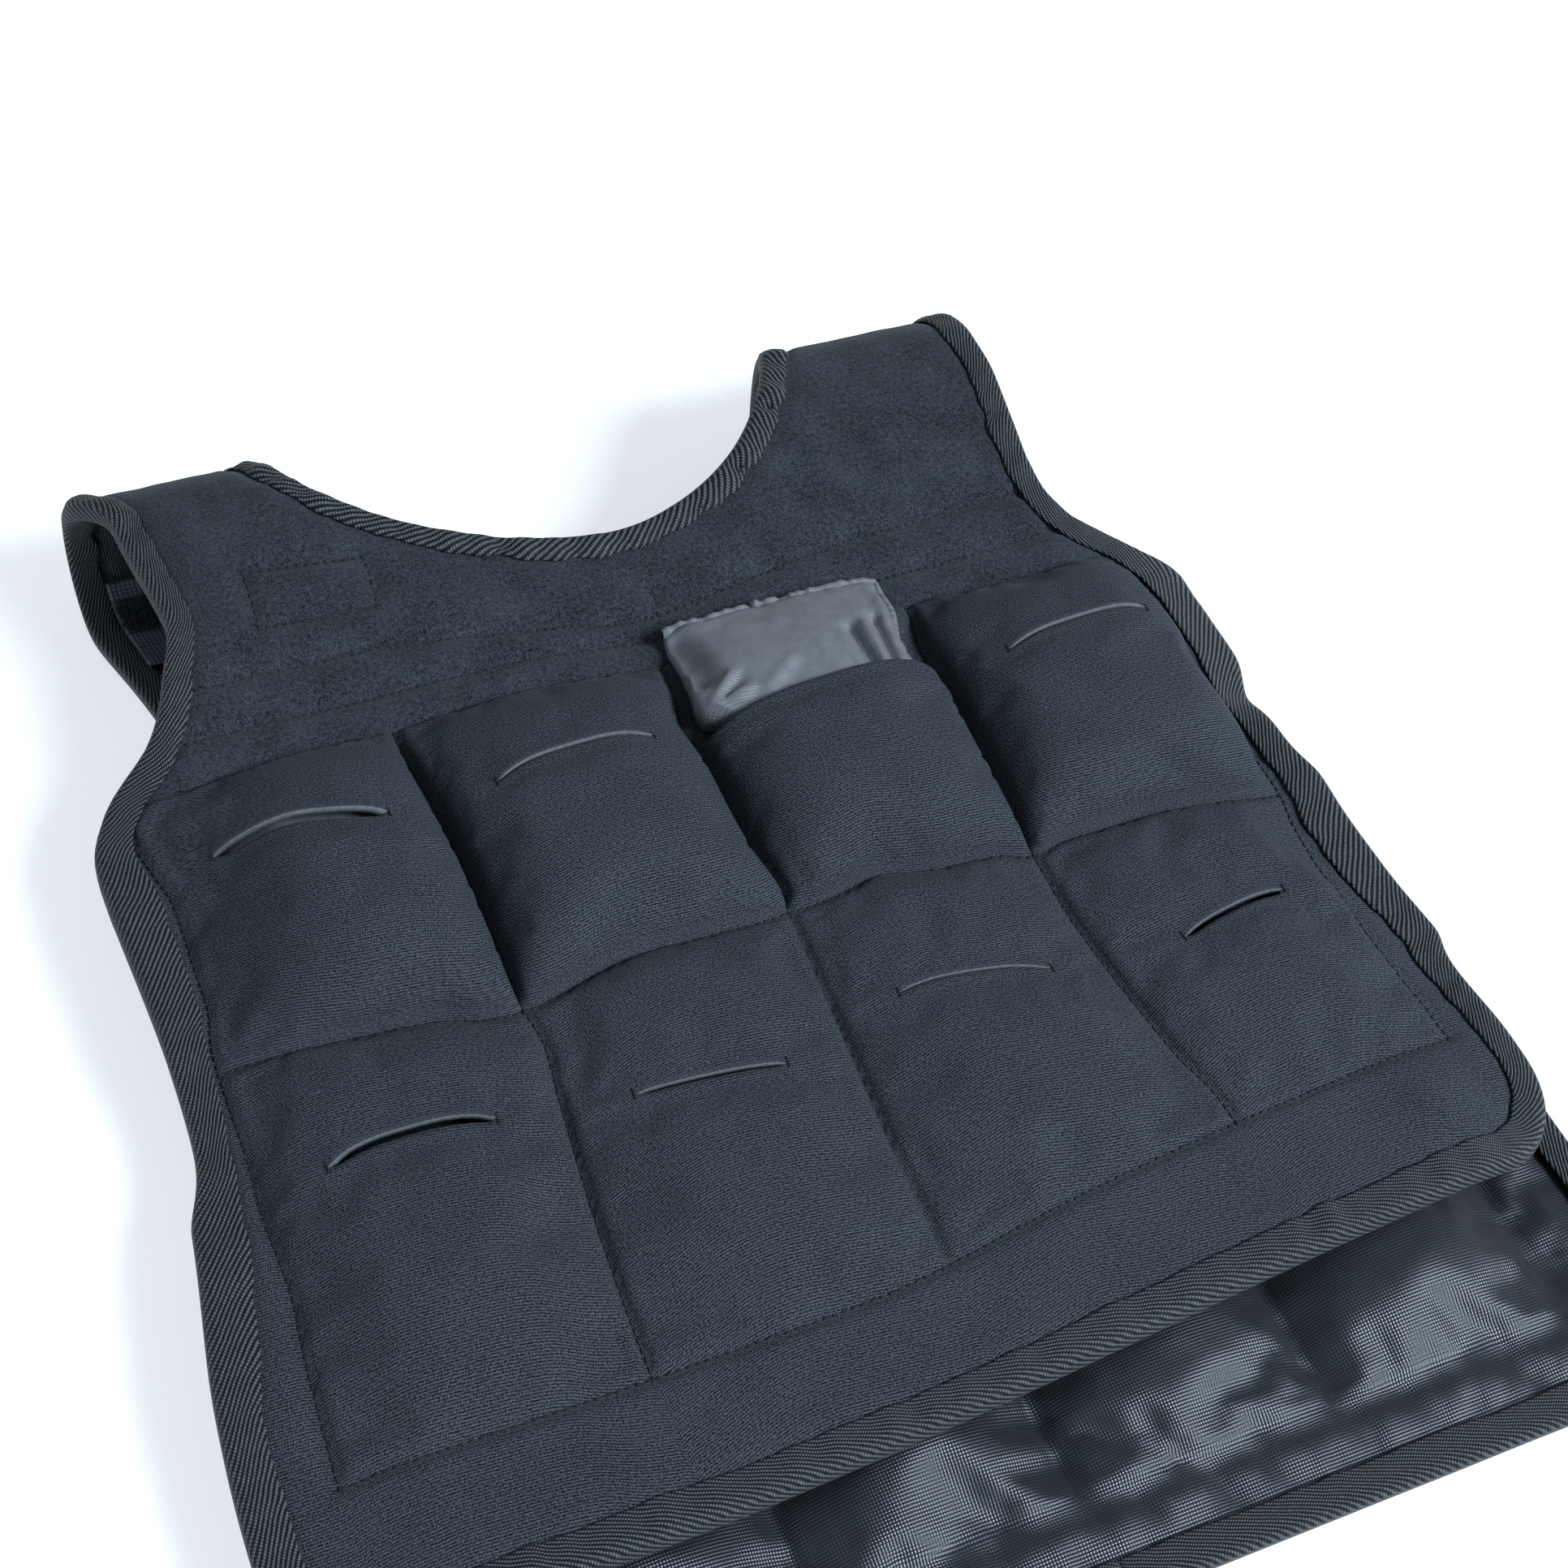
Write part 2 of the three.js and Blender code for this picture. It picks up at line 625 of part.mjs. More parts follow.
const columnLines = unique(
  levels(-gridHalfWidth, gridHalfWidth, pocketsAcross)
    .slice(0, -1)
    .flatMap((left) => pocketShares.map((v) => left + (pocketWidth * (v + 1)) / 2)),
);
const openPocket = pockets.find((p) => p.bagOut);
const openCentre = -gridHalfWidth + pocketWidth * (openPocket.column + 0.5);
const mouthLines = [-1, 1].map((side) => openCentre + (side * openPocket.mouth) / 2);
const seamLines = levels(-gridHalfWidth, gridHalfWidth, 4 * pocketsAcross);
const frontLines = unique([...levels(-gridHalfWidth, gridHalfWidth, 4), ...droopLines]);
const backLines = unique([...levels(-gridHalfWidth, gridHalfWidth, 4), ...sagLines]);
const puffCells = levels(-puffHalfWidth, puffHalfWidth, pocketsAcross);
const puffLines = puffCells.flatMap((s) => [s, s - 0.1 * puffHalfWidth, s + 0.1 * puffHalfWidth]);
const puffLevels = (from, to) => [0, 0.2, 0.8, 1].map((k) => mix(from, to, k));

add(
  "front_shell",
  sheet({
    from: frontHem - 5,
    to: -seamGap / 2,
    acrossLines: unique([...columnLines, ...mouthLines, ...droopLines]),
    alongLines: [...lowerLevels, ...upperLevels, -slitDrop - slitOpening, -slitDrop + slitOpening],
    inner: (s, t) => pileGap + bulge(s, t),
    outer: (s, t) => outerTop + bulge(s, t),
    cuts: pockets.map(slitPoints),
  }),
  neoprene,
);
add(
  "yoke",
  sheet({
    from: seamGap / 2,
    to: backYokeSeam - seamGap / 2,
    acrossLines: unique([...seamLines, ...droopLines]),
    alongLines: [...yokeLevels, ...foldLevels],
    inner: () => pileGap,
    outer: () => yokeTop,
  }),
  pile,
);
add(
  "back_shell",
  sheet({
    from: backYokeSeam + seamGap / 2,
    to: backHem + 5,
    acrossLines: backLines,
    alongLines: sagLevels,
    inner: () => pileGap,
    outer: () => outerTop,
  }),
  neoprene,
);
add(
  "front_lining",
  sheet({
    from: frontHem - 5,
    to: foldTop - seamGap / 2,
    acrossLines: frontLines,
    alongLines: [...levels(lowerSeam, middleSeam, 3), ...upperLevels, ...yokeLevels, ...foldLevels],
    inner: () => liningLow,
    outer: () => -pileGap,
  }),
  liningNylon,
);
add(
  "back_lining",
  sheet({
    from: foldTop + seamGap / 2,
    to: backHem + 5,
    acrossLines: unique([...puffLines.filter((s) => Math.abs(s) < gridHalfWidth - 5), ...sagLines]),
    alongLines: [
      ...foldLevels,
      ...puffLevels(backYokeSeam, backYokeSeam - middleSeam),
      ...puffLevels(backYokeSeam - middleSeam, backYokeSeam - lowerSeam),
      ...puffLevels(backYokeSeam - lowerSeam, sagEnd),
      ...sagLevels,
    ],
    inner: (s, t) => liningLow - liningBulge(s, t),
    outer: (s, t) => -pileGap - liningBulge(s, t),
  }),
  liningNylon,
);
add("outer_binding", tape(outline, 1), ribbedTape);
add("neck_binding", tape(neck, -1), ribbedTape);

for (const pocket of pockets.filter((p) => p.bag)) {
  const geometry = pocket.bagOut ? bagOutside(pocket) : bagInside(pocket);
  add(`weight_bag_${pocket.column + 1}`, geometry, satin);
}

for (const [side, name] of [
  [-1, "left"],
  [1, "right"],
]) {
  const low = -liningLow + stripGap;
  add(`shoulder_webbing_${name}`, insideStrip(side, foldEnd, webbingLength, low, webbingThickness), webbing);
  const onTop = low + webbingThickness + stripGap;
  add(`hook_patch_${name}`, insideStrip(side, foldEnd - patchRise, patchLength, onTop, patchThickness), hook);
}

// The origin is on the surface, under the middle of the vest.
const bounds = new THREE.Box3().setFromObject(vest);
vest.position.set(-(bounds.min.x + bounds.max.x) / 2, -(bounds.min.y + bounds.max.y) / 2, -bounds.min.z);

export default vest;
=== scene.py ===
# %% [markdown]
# # A weighted training vest, laid on its back
#
# The vest is a pull-over garment: a front with two rows of four pockets, a yoke and shoulder straps that fold
# over to the back, tape round every edge, and bags of heavy grains in the upper pockets. This lesson makes all
# of its cloth from one flat pattern, as a tailor would, and then lays that pattern over one curved surface.
# That way every layer knows where its neighbours are, and nothing has to be fitted by eye.

# %% Load the frame
import math

import bpy
import mathutils
import numpy as np
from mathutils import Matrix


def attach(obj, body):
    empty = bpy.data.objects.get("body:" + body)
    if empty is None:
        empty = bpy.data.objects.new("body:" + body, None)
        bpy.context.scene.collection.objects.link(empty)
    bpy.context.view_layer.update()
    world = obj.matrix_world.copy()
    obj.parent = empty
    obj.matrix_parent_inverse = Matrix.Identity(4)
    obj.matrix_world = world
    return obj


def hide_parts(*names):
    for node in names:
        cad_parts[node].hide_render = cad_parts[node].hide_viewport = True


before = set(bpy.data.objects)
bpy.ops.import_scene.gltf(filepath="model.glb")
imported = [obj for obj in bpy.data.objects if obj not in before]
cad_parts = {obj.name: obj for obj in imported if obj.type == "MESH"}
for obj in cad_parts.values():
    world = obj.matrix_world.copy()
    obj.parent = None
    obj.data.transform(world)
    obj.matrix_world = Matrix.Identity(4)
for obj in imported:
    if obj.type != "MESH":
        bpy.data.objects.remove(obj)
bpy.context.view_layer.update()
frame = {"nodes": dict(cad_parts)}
scene = bpy.context.scene
print("frame loaded:", ", ".join(frame["nodes"]))

# %% [markdown]
# ## The pattern and its sizes
#
# A place on the cloth is written as (across, along, out), in millimetres. Across is measured from the middle
# line, along starts at the seam between pockets and yoke and grows over the shoulder, and out is the distance
# from the face where the lining meets the outer cloth. The sizes are those of the solid model, so that each
# visible piece lies where its solid lies.

# %% Sizes of the pattern
MM = 0.001
ORIGIN = np.array([-0.787, 107.725, 0.0])  # from the middle of the yoke seam to the frame's origin

POCKET = 95.0
GRID = 2 * POCKET
MIDDLE_SEAM = -117.0
LOWER_SEAM = -246.0
FRONT_HEM = -289.0
YOKE = 104.0
FOLD_RADIUS = 27.0
FOLD_END = YOKE + math.pi * FOLD_RADIUS
FOLD_TOP = (YOKE + FOLD_END) / 2
BACK_SEAM = FOLD_END + YOKE
BACK_HEM = BACK_SEAM - FRONT_HEM + 61.0
BODY_HALF = 201.5
STRAP_HALF = 165.0
STRAP_FLARE, HEM_FLARE = 4.0, 8.0
ARMHOLE = (-37.0, 45.0)
HEM_CORNER = 28.0
NECK_WIDTH = 203.0
NECK_DEPTH = (93.0, 84.0)
BACK_EDGE = 5.25
SHOULDER = BACK_EDGE + 2 * FOLD_RADIUS
DROOP, DROOP_REACH = 5.0, 40.0
SAG_LOW, SAG_REACH = 3.15, 14.0
print(f"pattern from {FRONT_HEM:.0f} to {BACK_HEM:.0f} mm, shoulder at {SHOULDER:.1f} mm")

# %% [markdown]
# ## Reading a table smoothly
#
# Shapes that a hand would draw freely, such as an armhole, are kept as short tables. A curve through the rows
# gives every value between them. It could be a Blender curve object, but a small function is easier to read
# and works on whole arrays of points at once.

# %% Smooth tables
def smooth(v):
    v = np.clip(v, 0, 1)
    return v * v * (3 - 2 * v)


def curve_through(places, values, at):
    """A smooth value through rows (places, values); values may hold one column for each point in at."""
    places, values = np.asarray(places, float), np.asarray(values, float)
    last = len(places) - 1
    lower, upper = np.maximum(np.arange(last + 1) - 1, 0), np.minimum(np.arange(last + 1) + 1, last)
    gap = places[upper] - places[lower]
    slope = (values[upper] - values[lower]) / (gap if values.ndim == 1 else gap[:, None])
    at = np.clip(at, places[0], places[last])
    i = np.clip(np.searchsorted(places, at, side="right") - 1, 0, last - 1)
    j = (i,) if values.ndim == 1 else (i, np.arange(len(at)))
    k = (i + 1,) if values.ndim == 1 else (i + 1, np.arange(len(at)))
    step = places[i + 1] - places[i]
    u = (at - places[i]) / step
    rise = values[k] - values[j]
    a, b = slope[j] * step, slope[k] * step
    return values[j] + u * (a + u * (3 * rise - 2 * a - b + u * (a + b - 2 * rise)))

# %% [markdown]
# ## Outlines and the way the cloth lies
#
# The armhole, the rise of the front and the lie of the pocket grid have no simple formula on the real vest.
# Each could be traced as a curve object, but rows of numbers are shorter and can be changed one by one. The
# lie tables hold shares of a pocket's width at the crossings of the seams.

# %% Tables of the pattern
ARMHOLE_CURVE = np.array([(0, 1), (0.3, 0.95), (0.45, 0.78), (0.53, 0.63), (0.66, 0.28), (0.82, 0.06), (1, 0)])
FRONT_PROFILE = np.array(
    [(FRONT_HEM, 0.42), (LOWER_SEAM, 0.46), (MIDDLE_SEAM, 0.51), (0, 0.57),
     (0.5 * YOKE, 0.83), (0.82 * YOKE, 0.98), (YOKE, 1)]
)
LAY_ROWS = np.array([FRONT_HEM, LOWER_SEAM, MIDDLE_SEAM, 0, 0.5 * YOKE, YOKE, FOLD_END, BACK_SEAM, BACK_HEM])
LAY_X = np.array(
    [(-0.03, -0.06, -0.07, 0.05, 0), (-0.03, -0.07, -0.07, 0.08, -0.02), (0.02, 0.01, 0.01, -0.05, -0.02),
     (-0.02, -0.02, 0, 0.01, 0), (0, -0.02, 0, 0, 0), (0, -0.12, -0.1, -0.08, 0.02),
     (0, -0.12, -0.1, -0.08, 0.02), (0.09, 0.05, 0.03, 0.02, 0.03), (0.12, 0.1, 0.07, 0.05, 0.05)]
)
LAY_Y = np.array(
    [(-0.06, -0.06, 0, 0.1, 0.17), (-0.04, -0.04, 0, 0.11, 0.16), (0.05, -0.03, 0.06, 0, -0.07),
     (-0.03, 0.03, 0, 0.03, 0)] + [(0, 0, 0, 0, 0)] * 5
)
SEAM_ACROSS = np.linspace(-GRID, GRID, 5)


def panel_level(t):
    return np.where(t <= FOLD_TOP, np.minimum(t, YOKE), np.minimum(YOKE, BACK_SEAM - t))


def half_width(t):
    level = panel_level(np.asarray(t, float))
    share = (level - ARMHOLE[0]) / (ARMHOLE[1] - ARMHOLE[0])
    wide = curve_through(ARMHOLE_CURVE[:, 0], ARMHOLE_CURVE[:, 1], share)
    flare = STRAP_FLARE * smooth((level - ARMHOLE[1]) / (YOKE - ARMHOLE[1]))
    hem = HEM_FLARE * smooth((MIDDLE_SEAM - level) / (MIDDLE_SEAM - LOWER_SEAM))
    return STRAP_HALF + (BODY_HALF - STRAP_HALF) * wide + flare + hem


def neck_half(t):
    t = np.asarray(t, float)
    depth = np.where(t < FOLD_TOP, NECK_DEPTH[0], NECK_DEPTH[1])
    share = np.clip(np.abs(t - FOLD_TOP) / depth, 0, 1)
    return NECK_WIDTH / 2 * (1 - share**2) ** 0.53


def lay(s, t, table):
    columns = np.array([curve_through(LAY_ROWS, table[:, k], t) for k in range(5)])
    return POCKET * curve_through(SEAM_ACROSS, columns, s)


print("half width at the yoke seam:", round(float(half_width(0.0)), 1), "mm")

# %% [markdown]
# ## Laying the pattern over the vest
#
# The front panel rises from the hem to the shoulder, turns over a half circle and comes back along the ground.
# One function carries any pattern point there. Small waves of the lying cloth are added to it as a table of
# soft strokes, each a low ridge or trough between two places on the pattern, so that shell, lining and tape
# all follow the same wave.

# %% Soft waves and pulls
WAVES = [  # across and along of both ends, width, height: ridges are positive
    (-203, -95, -203, -45, 12, 2.5), (-203, -150, -203, -125, 14, -2.0), (-200, -215, -200, -180, 16, 2.0),
    (203, -60, 203, -18, 13, -8.0), (203, -110, 203, -85, 14, 1.5), (203, -215, 203, -170, 20, -1.5),
    (-165, 20, -165, 50, 12, 2.0), (-168, 85, -168, 92, 9, -2.0), (166, 60, 166, 80, 12, 1.5),
    (60, 60, 84, 90, 14, 1.2), (-60, 60, -84, 88, 14, -1.0), (-130, 60, -100, 96, 18, 1.6),
    (0, 20, 10, 45, 18, -1.5), (-90, 20, -70, 50, 20, 1.0), (90, 15, 120, 50, 22, -1.2),
    (-120, -275, -60, -268, 26, 1.6), (60, -268, 120, -262, 26, -1.2), (170, -262, 196, -250, 16, 2.2),
    (150, -130, 178, -165, 9, 2.2), (178, -165, 187, -225, 9, 2.0), (160, -155, 172, -215, 9, -1.4),
    (26, -122, 44, -136, 7, -1.6), (-70, -122, -40, -124, 8, 1.2), (-150, -200, -110, -215, 20, 1.4),
    (30, -215, 70, -200, 22, 1.2),
]
EDGE_PULLS = [  # the same, but pulled to the right, or to the left where negative
    (-166, 60, -166, 100, 18, 9.0), (-172, 138, -172, 180, 24, -4.5), (209, -44, 208, -10, 17, 10.0),
    (207, -110, 207, -190, 12, 4.5), (-209, -160, -211, -270, 14, -6.0), (-190, -215, -190, -289, 30, -2.5),
]


def from_segment(s, t, s0, t0, s1, t1):
    """Distance of each pattern point from the straight piece between two places."""
    ds, dt = s1 - s0, t1 - t0
    k = np.clip(((s - s0) * ds + (t - t0) * dt) / (ds * ds + dt * dt), 0, 1)
    return np.hypot(s - s0 - k * ds, t - t0 - k * dt)


def strokes(table, s, t):
    total = np.zeros_like(s)
    for s0, t0, s1, t1, width, height in table:
        total += height * np.exp(-((from_segment(s, t, s0, t0, s1, t1) / width) ** 2))
    return total


print(len(WAVES), "waves and", len(EDGE_PULLS), "pulls of the edge")

# %% [markdown]
# ## Seams that aren't straight
#
# A full pocket pulls its seams out of line. A cloth simulation of the whole vest could find that, but it
# would take long and couldn't be steered towards the real one. So each seam has a short table of pulls, and
# the cloth near it follows.

# %% Seams pulled by full pockets
SEAM_REACH, FLANGE_REACH = 45.0, 12.0  # how far from a seam the cloth follows it, inside and beyond the grid
PULL_END = 60.0  # the seams pull nothing above this level
SEAMS_ACROSS = {  # each seam across the vest: places on it, and how far it is pulled along there
    0: ([-190, -180, -168, -132, -96, -72, -48, -12, 48, 96, 132, 156, 180, 190],
        [2, 1.5, -0.5, 0, -1.5, 0, 2, 1, -1, -2.5, -3.5, -2, 1, 1]),
    MIDDLE_SEAM: ([-190, -150, -132, -120, -108, -95, -84, -72, -60, -48, -36, -24, -12, 0,
                   12, 24, 36, 48, 60, 72, 84, 95, 108, 120, 144, 168, 190],
                  [4, 4.5, 4.8, 4, 1, 0, 1.5, 3.5, 5, 4.5, 2.5, 1, -0.5, -0.5,
                   0, 2.5, 5, 3.5, 2.5, 3, 2.5, -0.5, 3, 4, 5.8, 4.5, 4]),
    LOWER_SEAM: ([-190, -120, -24, 0, 24, 48, 96, 144, 190], [0, -1, -2.5, -1.5, 0.5, 2, 2.5, 3, 3]),
}
SEAMS_ALONG = {  # each seam along the vest: places on it, and how far it is pulled across there
    -190: ([-246, -200, -190, -170, -150, -110, -90, -70, -40, -25, -10, 0],
           [2, 3, 3, 1, 0.5, 0, 3.5, 4.5, 6, 3.5, 1, 0]),
    -95: ([-246, -220, -190, -150, -130, -112, -60, -10], [0, -0.5, -0.5, 1, 2.5, 0, 1, -0.5]),
    0: ([-246, -220, -200, -117, -110, -90, -50, -30, -18, -5], [1.5, 1, 0, 0, 1, -2.5, -2.5, -4, -1, 0]),
    95: ([-246, -230, -210, -150, -120, -90, -50, -20, -5], [1, 0, -3, -3, -1, 0, -0.8, -2.5, 0]),
    190: ([-246, -220, -190, -170, -150, -130, -117, -60, 0], [0, -2, -4, -4.5, -5, -4, -2, -2, -2]),
}


def seam_pull(s, t):
    """Shift of the cloth near its seams, which full pockets pull out of their straight lines."""
    across, along = np.zeros_like(s), np.zeros_like(s)
    for level, (places, values) in SEAMS_ACROSS.items():
        along += curve_through(places, values, s) * smooth(1 - np.abs(t - level) / SEAM_REACH)
    for middle, (places, values) in SEAMS_ALONG.items():
        beyond = (np.abs(s) > GRID) & (abs(middle) == GRID)
        reach = np.where(beyond, FLANGE_REACH, SEAM_REACH)
        across += curve_through(places, values, t) * smooth(1 - np.abs(s - middle) / reach)
    return across, along


print(len(SEAMS_ACROSS), "seams across and", len(SEAMS_ALONG), "along")

# %% [markdown]
# ## One function lays everything
#
# Folding a finished mesh with modifiers would stretch it. Instead every piece is made through this
# function, so each layer bends round the shoulder at its own radius.

# %% From the pattern to the lying vest
def place(s, t, out):
    """Pattern points, in millimetres, to points of the lying vest in metres."""
    s, t, out = (np.asarray(v, float).ravel() for v in np.broadcast_arrays(s, t, out))
    across, along = seam_pull(s, t)
    s, t = s + across, t + along * (t < PULL_END)
    x = s + lay(s, t, LAY_X) + strokes(EDGE_PULLS, s, t)
    push = lay(s, t, LAY_Y)
    droop = DROOP * smooth((np.abs(s) - BODY_HALF + DROOP_REACH) / DROOP_REACH) * smooth((YOKE - t) / YOKE)
    front = SHOULDER * curve_through(FRONT_PROFILE[:, 0], FRONT_PROFILE[:, 1], t) - droop + out
    turn = np.clip((t - YOKE) / FOLD_RADIUS, 0, math.pi)
    reach = FOLD_RADIUS + out
    inside = np.clip((GRID - np.abs(s)) / SAG_REACH, 0, 1)
    below = np.clip((t - BACK_SEAM + ARMHOLE[0]) / SAG_REACH, 0, 1)
    above = np.clip((BACK_HEM - HEM_CORNER - t) / SAG_REACH, 0, 1)
    flat = BACK_EDGE + (SAG_LOW - BACK_EDGE) * inside * below * above - out
    folding = t < FOLD_END
    z = np.where(t <= YOKE, front, np.where(folding, BACK_EDGE + FOLD_RADIUS + reach * np.cos(turn), flat))
    y = np.where(t <= YOKE, t, np.where(folding, YOKE + reach * np.sin(turn), YOKE - (t - FOLD_END)))
    z = z + strokes(WAVES, s, t) * (t <= YOKE)
    return (np.column_stack([x, y + push, z]) + ORIGIN) * MM


print("hem middle lies at", place(0, FRONT_HEM, 0)[0].round(4))

# %% [markdown]
# ## Meshes from arrays
#
# Each sheet of cloth is a grid of points with a UV map in metres, so that a weave has its real size. A thin
# wall is added afterwards with Solidify, because one clean surface is easier to shape than two.

# %% Helpers for meshes
def link_object(name, data):
    obj = bpy.data.objects.new(name, data)
    scene.collection.objects.link(obj)
    return obj


def make_object(name, points, faces, uv=None):
    mesh = bpy.data.meshes.new(name)
    mesh.from_pydata([tuple(p) for p in points], [], [tuple(int(i) for i in f) for f in faces])
    mesh.validate()
    mesh.polygons.foreach_set("use_smooth", [True] * len(mesh.polygons))
    if uv is not None:
        layer = mesh.uv_layers.new(name="Cloth")
        corners = np.empty(len(mesh.loops), int)
        mesh.loops.foreach_get("vertex_index", corners)
        layer.data.foreach_set("uv", np.asarray(uv, float)[corners].ravel())
    return link_object(name, mesh)


def quads(rows, columns):
    i = np.arange(rows * columns).reshape(rows, columns)
    return np.stack([i[:-1, :-1], i[:-1, 1:], i[1:, 1:], i[1:, :-1]], axis=-1).reshape(-1, 4)


def thicken(obj, wall, offset=-1.0, rim_slot=0):
    mod = obj.modifiers.new("Wall", "SOLIDIFY")
    mod.thickness = wall * MM
    mod.offset = offset
    mod.material_offset_rim = rim_slot
    mod.use_even_offset = False


def bake_modifiers(obj):
    graph = bpy.context.evaluated_depsgraph_get()
    mesh = bpy.data.meshes.new_from_object(obj.evaluated_get(graph))
    obj.modifiers.clear()
    old, obj.data = obj.data, mesh
    bpy.data.meshes.remove(old)

# %% [markdown]
# ## The camera
#
# The camera stands where the seam crossings of the vest fall on their places in the picture. It could be
# aimed by eye, but three axes and a position, found by a least-squares fit, are exact and can be written
# down.

# %% Camera
FOCAL_PIXELS, FRAME_PIXELS, SENSOR_MM = 3200, 1932, 36.0
camera_data = bpy.data.cameras.new("Camera")
camera_data.sensor_width = SENSOR_MM
camera_data.lens = SENSOR_MM * FOCAL_PIXELS / FRAME_PIXELS
camera_data.clip_start = 0.05
right, up, back = np.array([(0.914, -0.3953, 0.0907), (0.2485, 0.7225, 0.6452), (-0.3206, -0.5672, 0.7586)])
spot = (np.array([-263.3, -564.1, 706.3]) + ORIGIN) * MM
camera = link_object("Camera", camera_data)
camera.matrix_world = mathutils.Matrix(
    [(right[k], up[k], back[k], spot[k]) for k in range(3)] + [(0, 0, 0, 1)]
)
scene.camera = camera
print("camera at", spot.round(3), "with a lens of", round(camera_data.lens, 1), "mm")

# %% [markdown]
# ## A small kit for materials
#
# Cloth is never one colour. Each material mixes a few patterns into one tone, picks its colour between a
# dark and a light one, and uses the weave as a bump. The same few steps end every material, so they are
# written once.

# %% Nodes of a material
def linear(hex_colour):
    """An sRGB colour such as '#30363b' as linear light."""
    parts = [int(hex_colour[i:i + 2], 16) / 255 for i in (1, 3, 5)]
    return tuple(c / 12.92 if c <= 0.04045 else ((c + 0.055) / 1.055) ** 2.4 for c in parts) + (1.0,)


def add(owner, kind, settings=None, **links):
    """One node of a material or tree, with its settings and its inputs: a value, or the socket it comes from."""
    tree = getattr(owner, "node_tree", owner)
    node = tree.nodes.new(kind)
    for name, value in (settings or {}).items():
        setattr(node, name, value)
    for name, value in links.items():
        key = int(name[1:]) if name[1:].isdigit() else name.replace("_", " ")
        if isinstance(value, bpy.types.NodeSocket):
            tree.links.new(value, node.inputs[key])
        else:
            node.inputs[key].default_value = value
    return node


def new_material(name):
    material = bpy.data.materials.new(name)
    material.use_nodes = True
    material.node_tree.nodes.clear()
    return material


def weighted(m, *parts):
    """Sum of (value, weight) pairs."""
    total = None
    for value, weight in parts:
        term = add(m, "ShaderNodeMath", {"operation": "MULTIPLY"}, _0=value, _1=weight).outputs[0]
        if total is not None:
            term = add(m, "ShaderNodeMath", {"operation": "ADD"}, _0=total, _1=term).outputs[0]
        total = term
    return total


def finish_material(m, tone, dark, light, height, strength, depth, low=0.3, high=0.7, **surface):
    """Ends a material: tone picks a colour between dark and light, and height is felt as a bump of depth mm."""
    ramp = add(m, "ShaderNodeValToRGB", Fac=tone)
    for end, colour, spot_on in zip(ramp.color_ramp.elements, (dark, light), (low, high)):
        end.position, end.color = spot_on, linear(colour)
    bump = add(m, "ShaderNodeBump", Strength=strength, Distance=depth * MM, Height=height)
    shader = add(m, "ShaderNodeBsdfPrincipled", Base_Color=ramp.outputs[0], Normal=bump.outputs[0], **surface)
    add(m, "ShaderNodeOutputMaterial", Surface=shader.outputs[0])
    return m


def wave_scale(period):
    """Scale of a Wave Texture whose bands lie period millimetres apart on coordinates in metres."""
    return math.pi / (10 * period * MM)


print("black cloth", linear("#080c11"))

# %% [markdown]
# ## Knit-faced neoprene
#
# The pockets are foam rubber with a fine knit glued on, matte and slightly furry. Image textures could show
# the knit, but bands and noise made from its real spacing stay sharp at any distance. The rows are drawn at
# 0.95 mm, a little coarser than real ones, so that they show.

# %% Knit-faced neoprene
def knit_neoprene():
    """The eye sees fine rows, a soft fuzz over them, and light specks of lint. It hardly shines."""
    m = new_material("Knit-faced neoprene")
    uv = add(m, "ShaderNodeTexCoord").outputs["UV"]
    rows = add(m, "ShaderNodeTexWave", {"bands_direction": "Y"}, Vector=uv, Scale=wave_scale(0.95),
               Distortion=0.8, Detail=1.0).outputs["Fac"]
    wales = add(m, "ShaderNodeTexWave", {"bands_direction": "X"}, Vector=uv, Scale=wave_scale(0.8),
                Distortion=1.0, Detail=1.0).outputs["Fac"]
    knit = weighted(m, (rows, 0.7), (wales, 0.3))
    fuzz = add(m, "ShaderNodeTexNoise", Vector=uv, Scale=1 / (0.7 * MM), Detail=2.0, Roughness=0.7).outputs["Fac"]
    cloudy = add(m, "ShaderNodeTexNoise", Vector=uv, Scale=1 / (22 * MM), Detail=3.0, Roughness=0.6).outputs["Fac"]
    lint = add(m, "ShaderNodeTexVoronoi", Vector=uv, Scale=1 / (7 * MM))
    small = add(m, "ShaderNodeMath", {"operation": "LESS_THAN"}, _0=lint.outputs["Distance"], _1=0.05)
    chance = add(m, "ShaderNodeSeparateColor", _0=lint.outputs["Color"])
    few = add(m, "ShaderNodeMath", {"operation": "GREATER_THAN"}, _0=chance.outputs[0], _1=0.72)
    speck = add(m, "ShaderNodeMath", {"operation": "MULTIPLY"}, _0=small.outputs[0], _1=few.outputs[0]).outputs[0]
    tone = weighted(m, (knit, 0.24), (fuzz, 0.7), (cloudy, 0.06), (speck, 0.4))
    return finish_material(m, tone, "#080c11", "#4b555f", weighted(m, (knit, 0.5), (fuzz, 0.6)), 0.45, 0.2,
                           0.39, 0.68, Roughness=0.95, Sheen_Weight=0.07, Sheen_Roughness=0.4,
                           Sheen_Tint=linear("#a8b8c4"), Specular_IOR_Level=0.1, IOR=1.45)


NEOPRENE = knit_neoprene()
print(NEOPRENE.name, "has", len(NEOPRENE.node_tree.nodes), "nodes")

# %% [markdown]
# ## Brushed loop fabric
#
# The yoke is the soft half of a hook-and-loop fastening, with tufts brushed in all directions. Real hairs
# would cost millions of faces, so noise at two sizes stands for tufts and fibres, and a sheen stands for
# the fuzz at the edges.

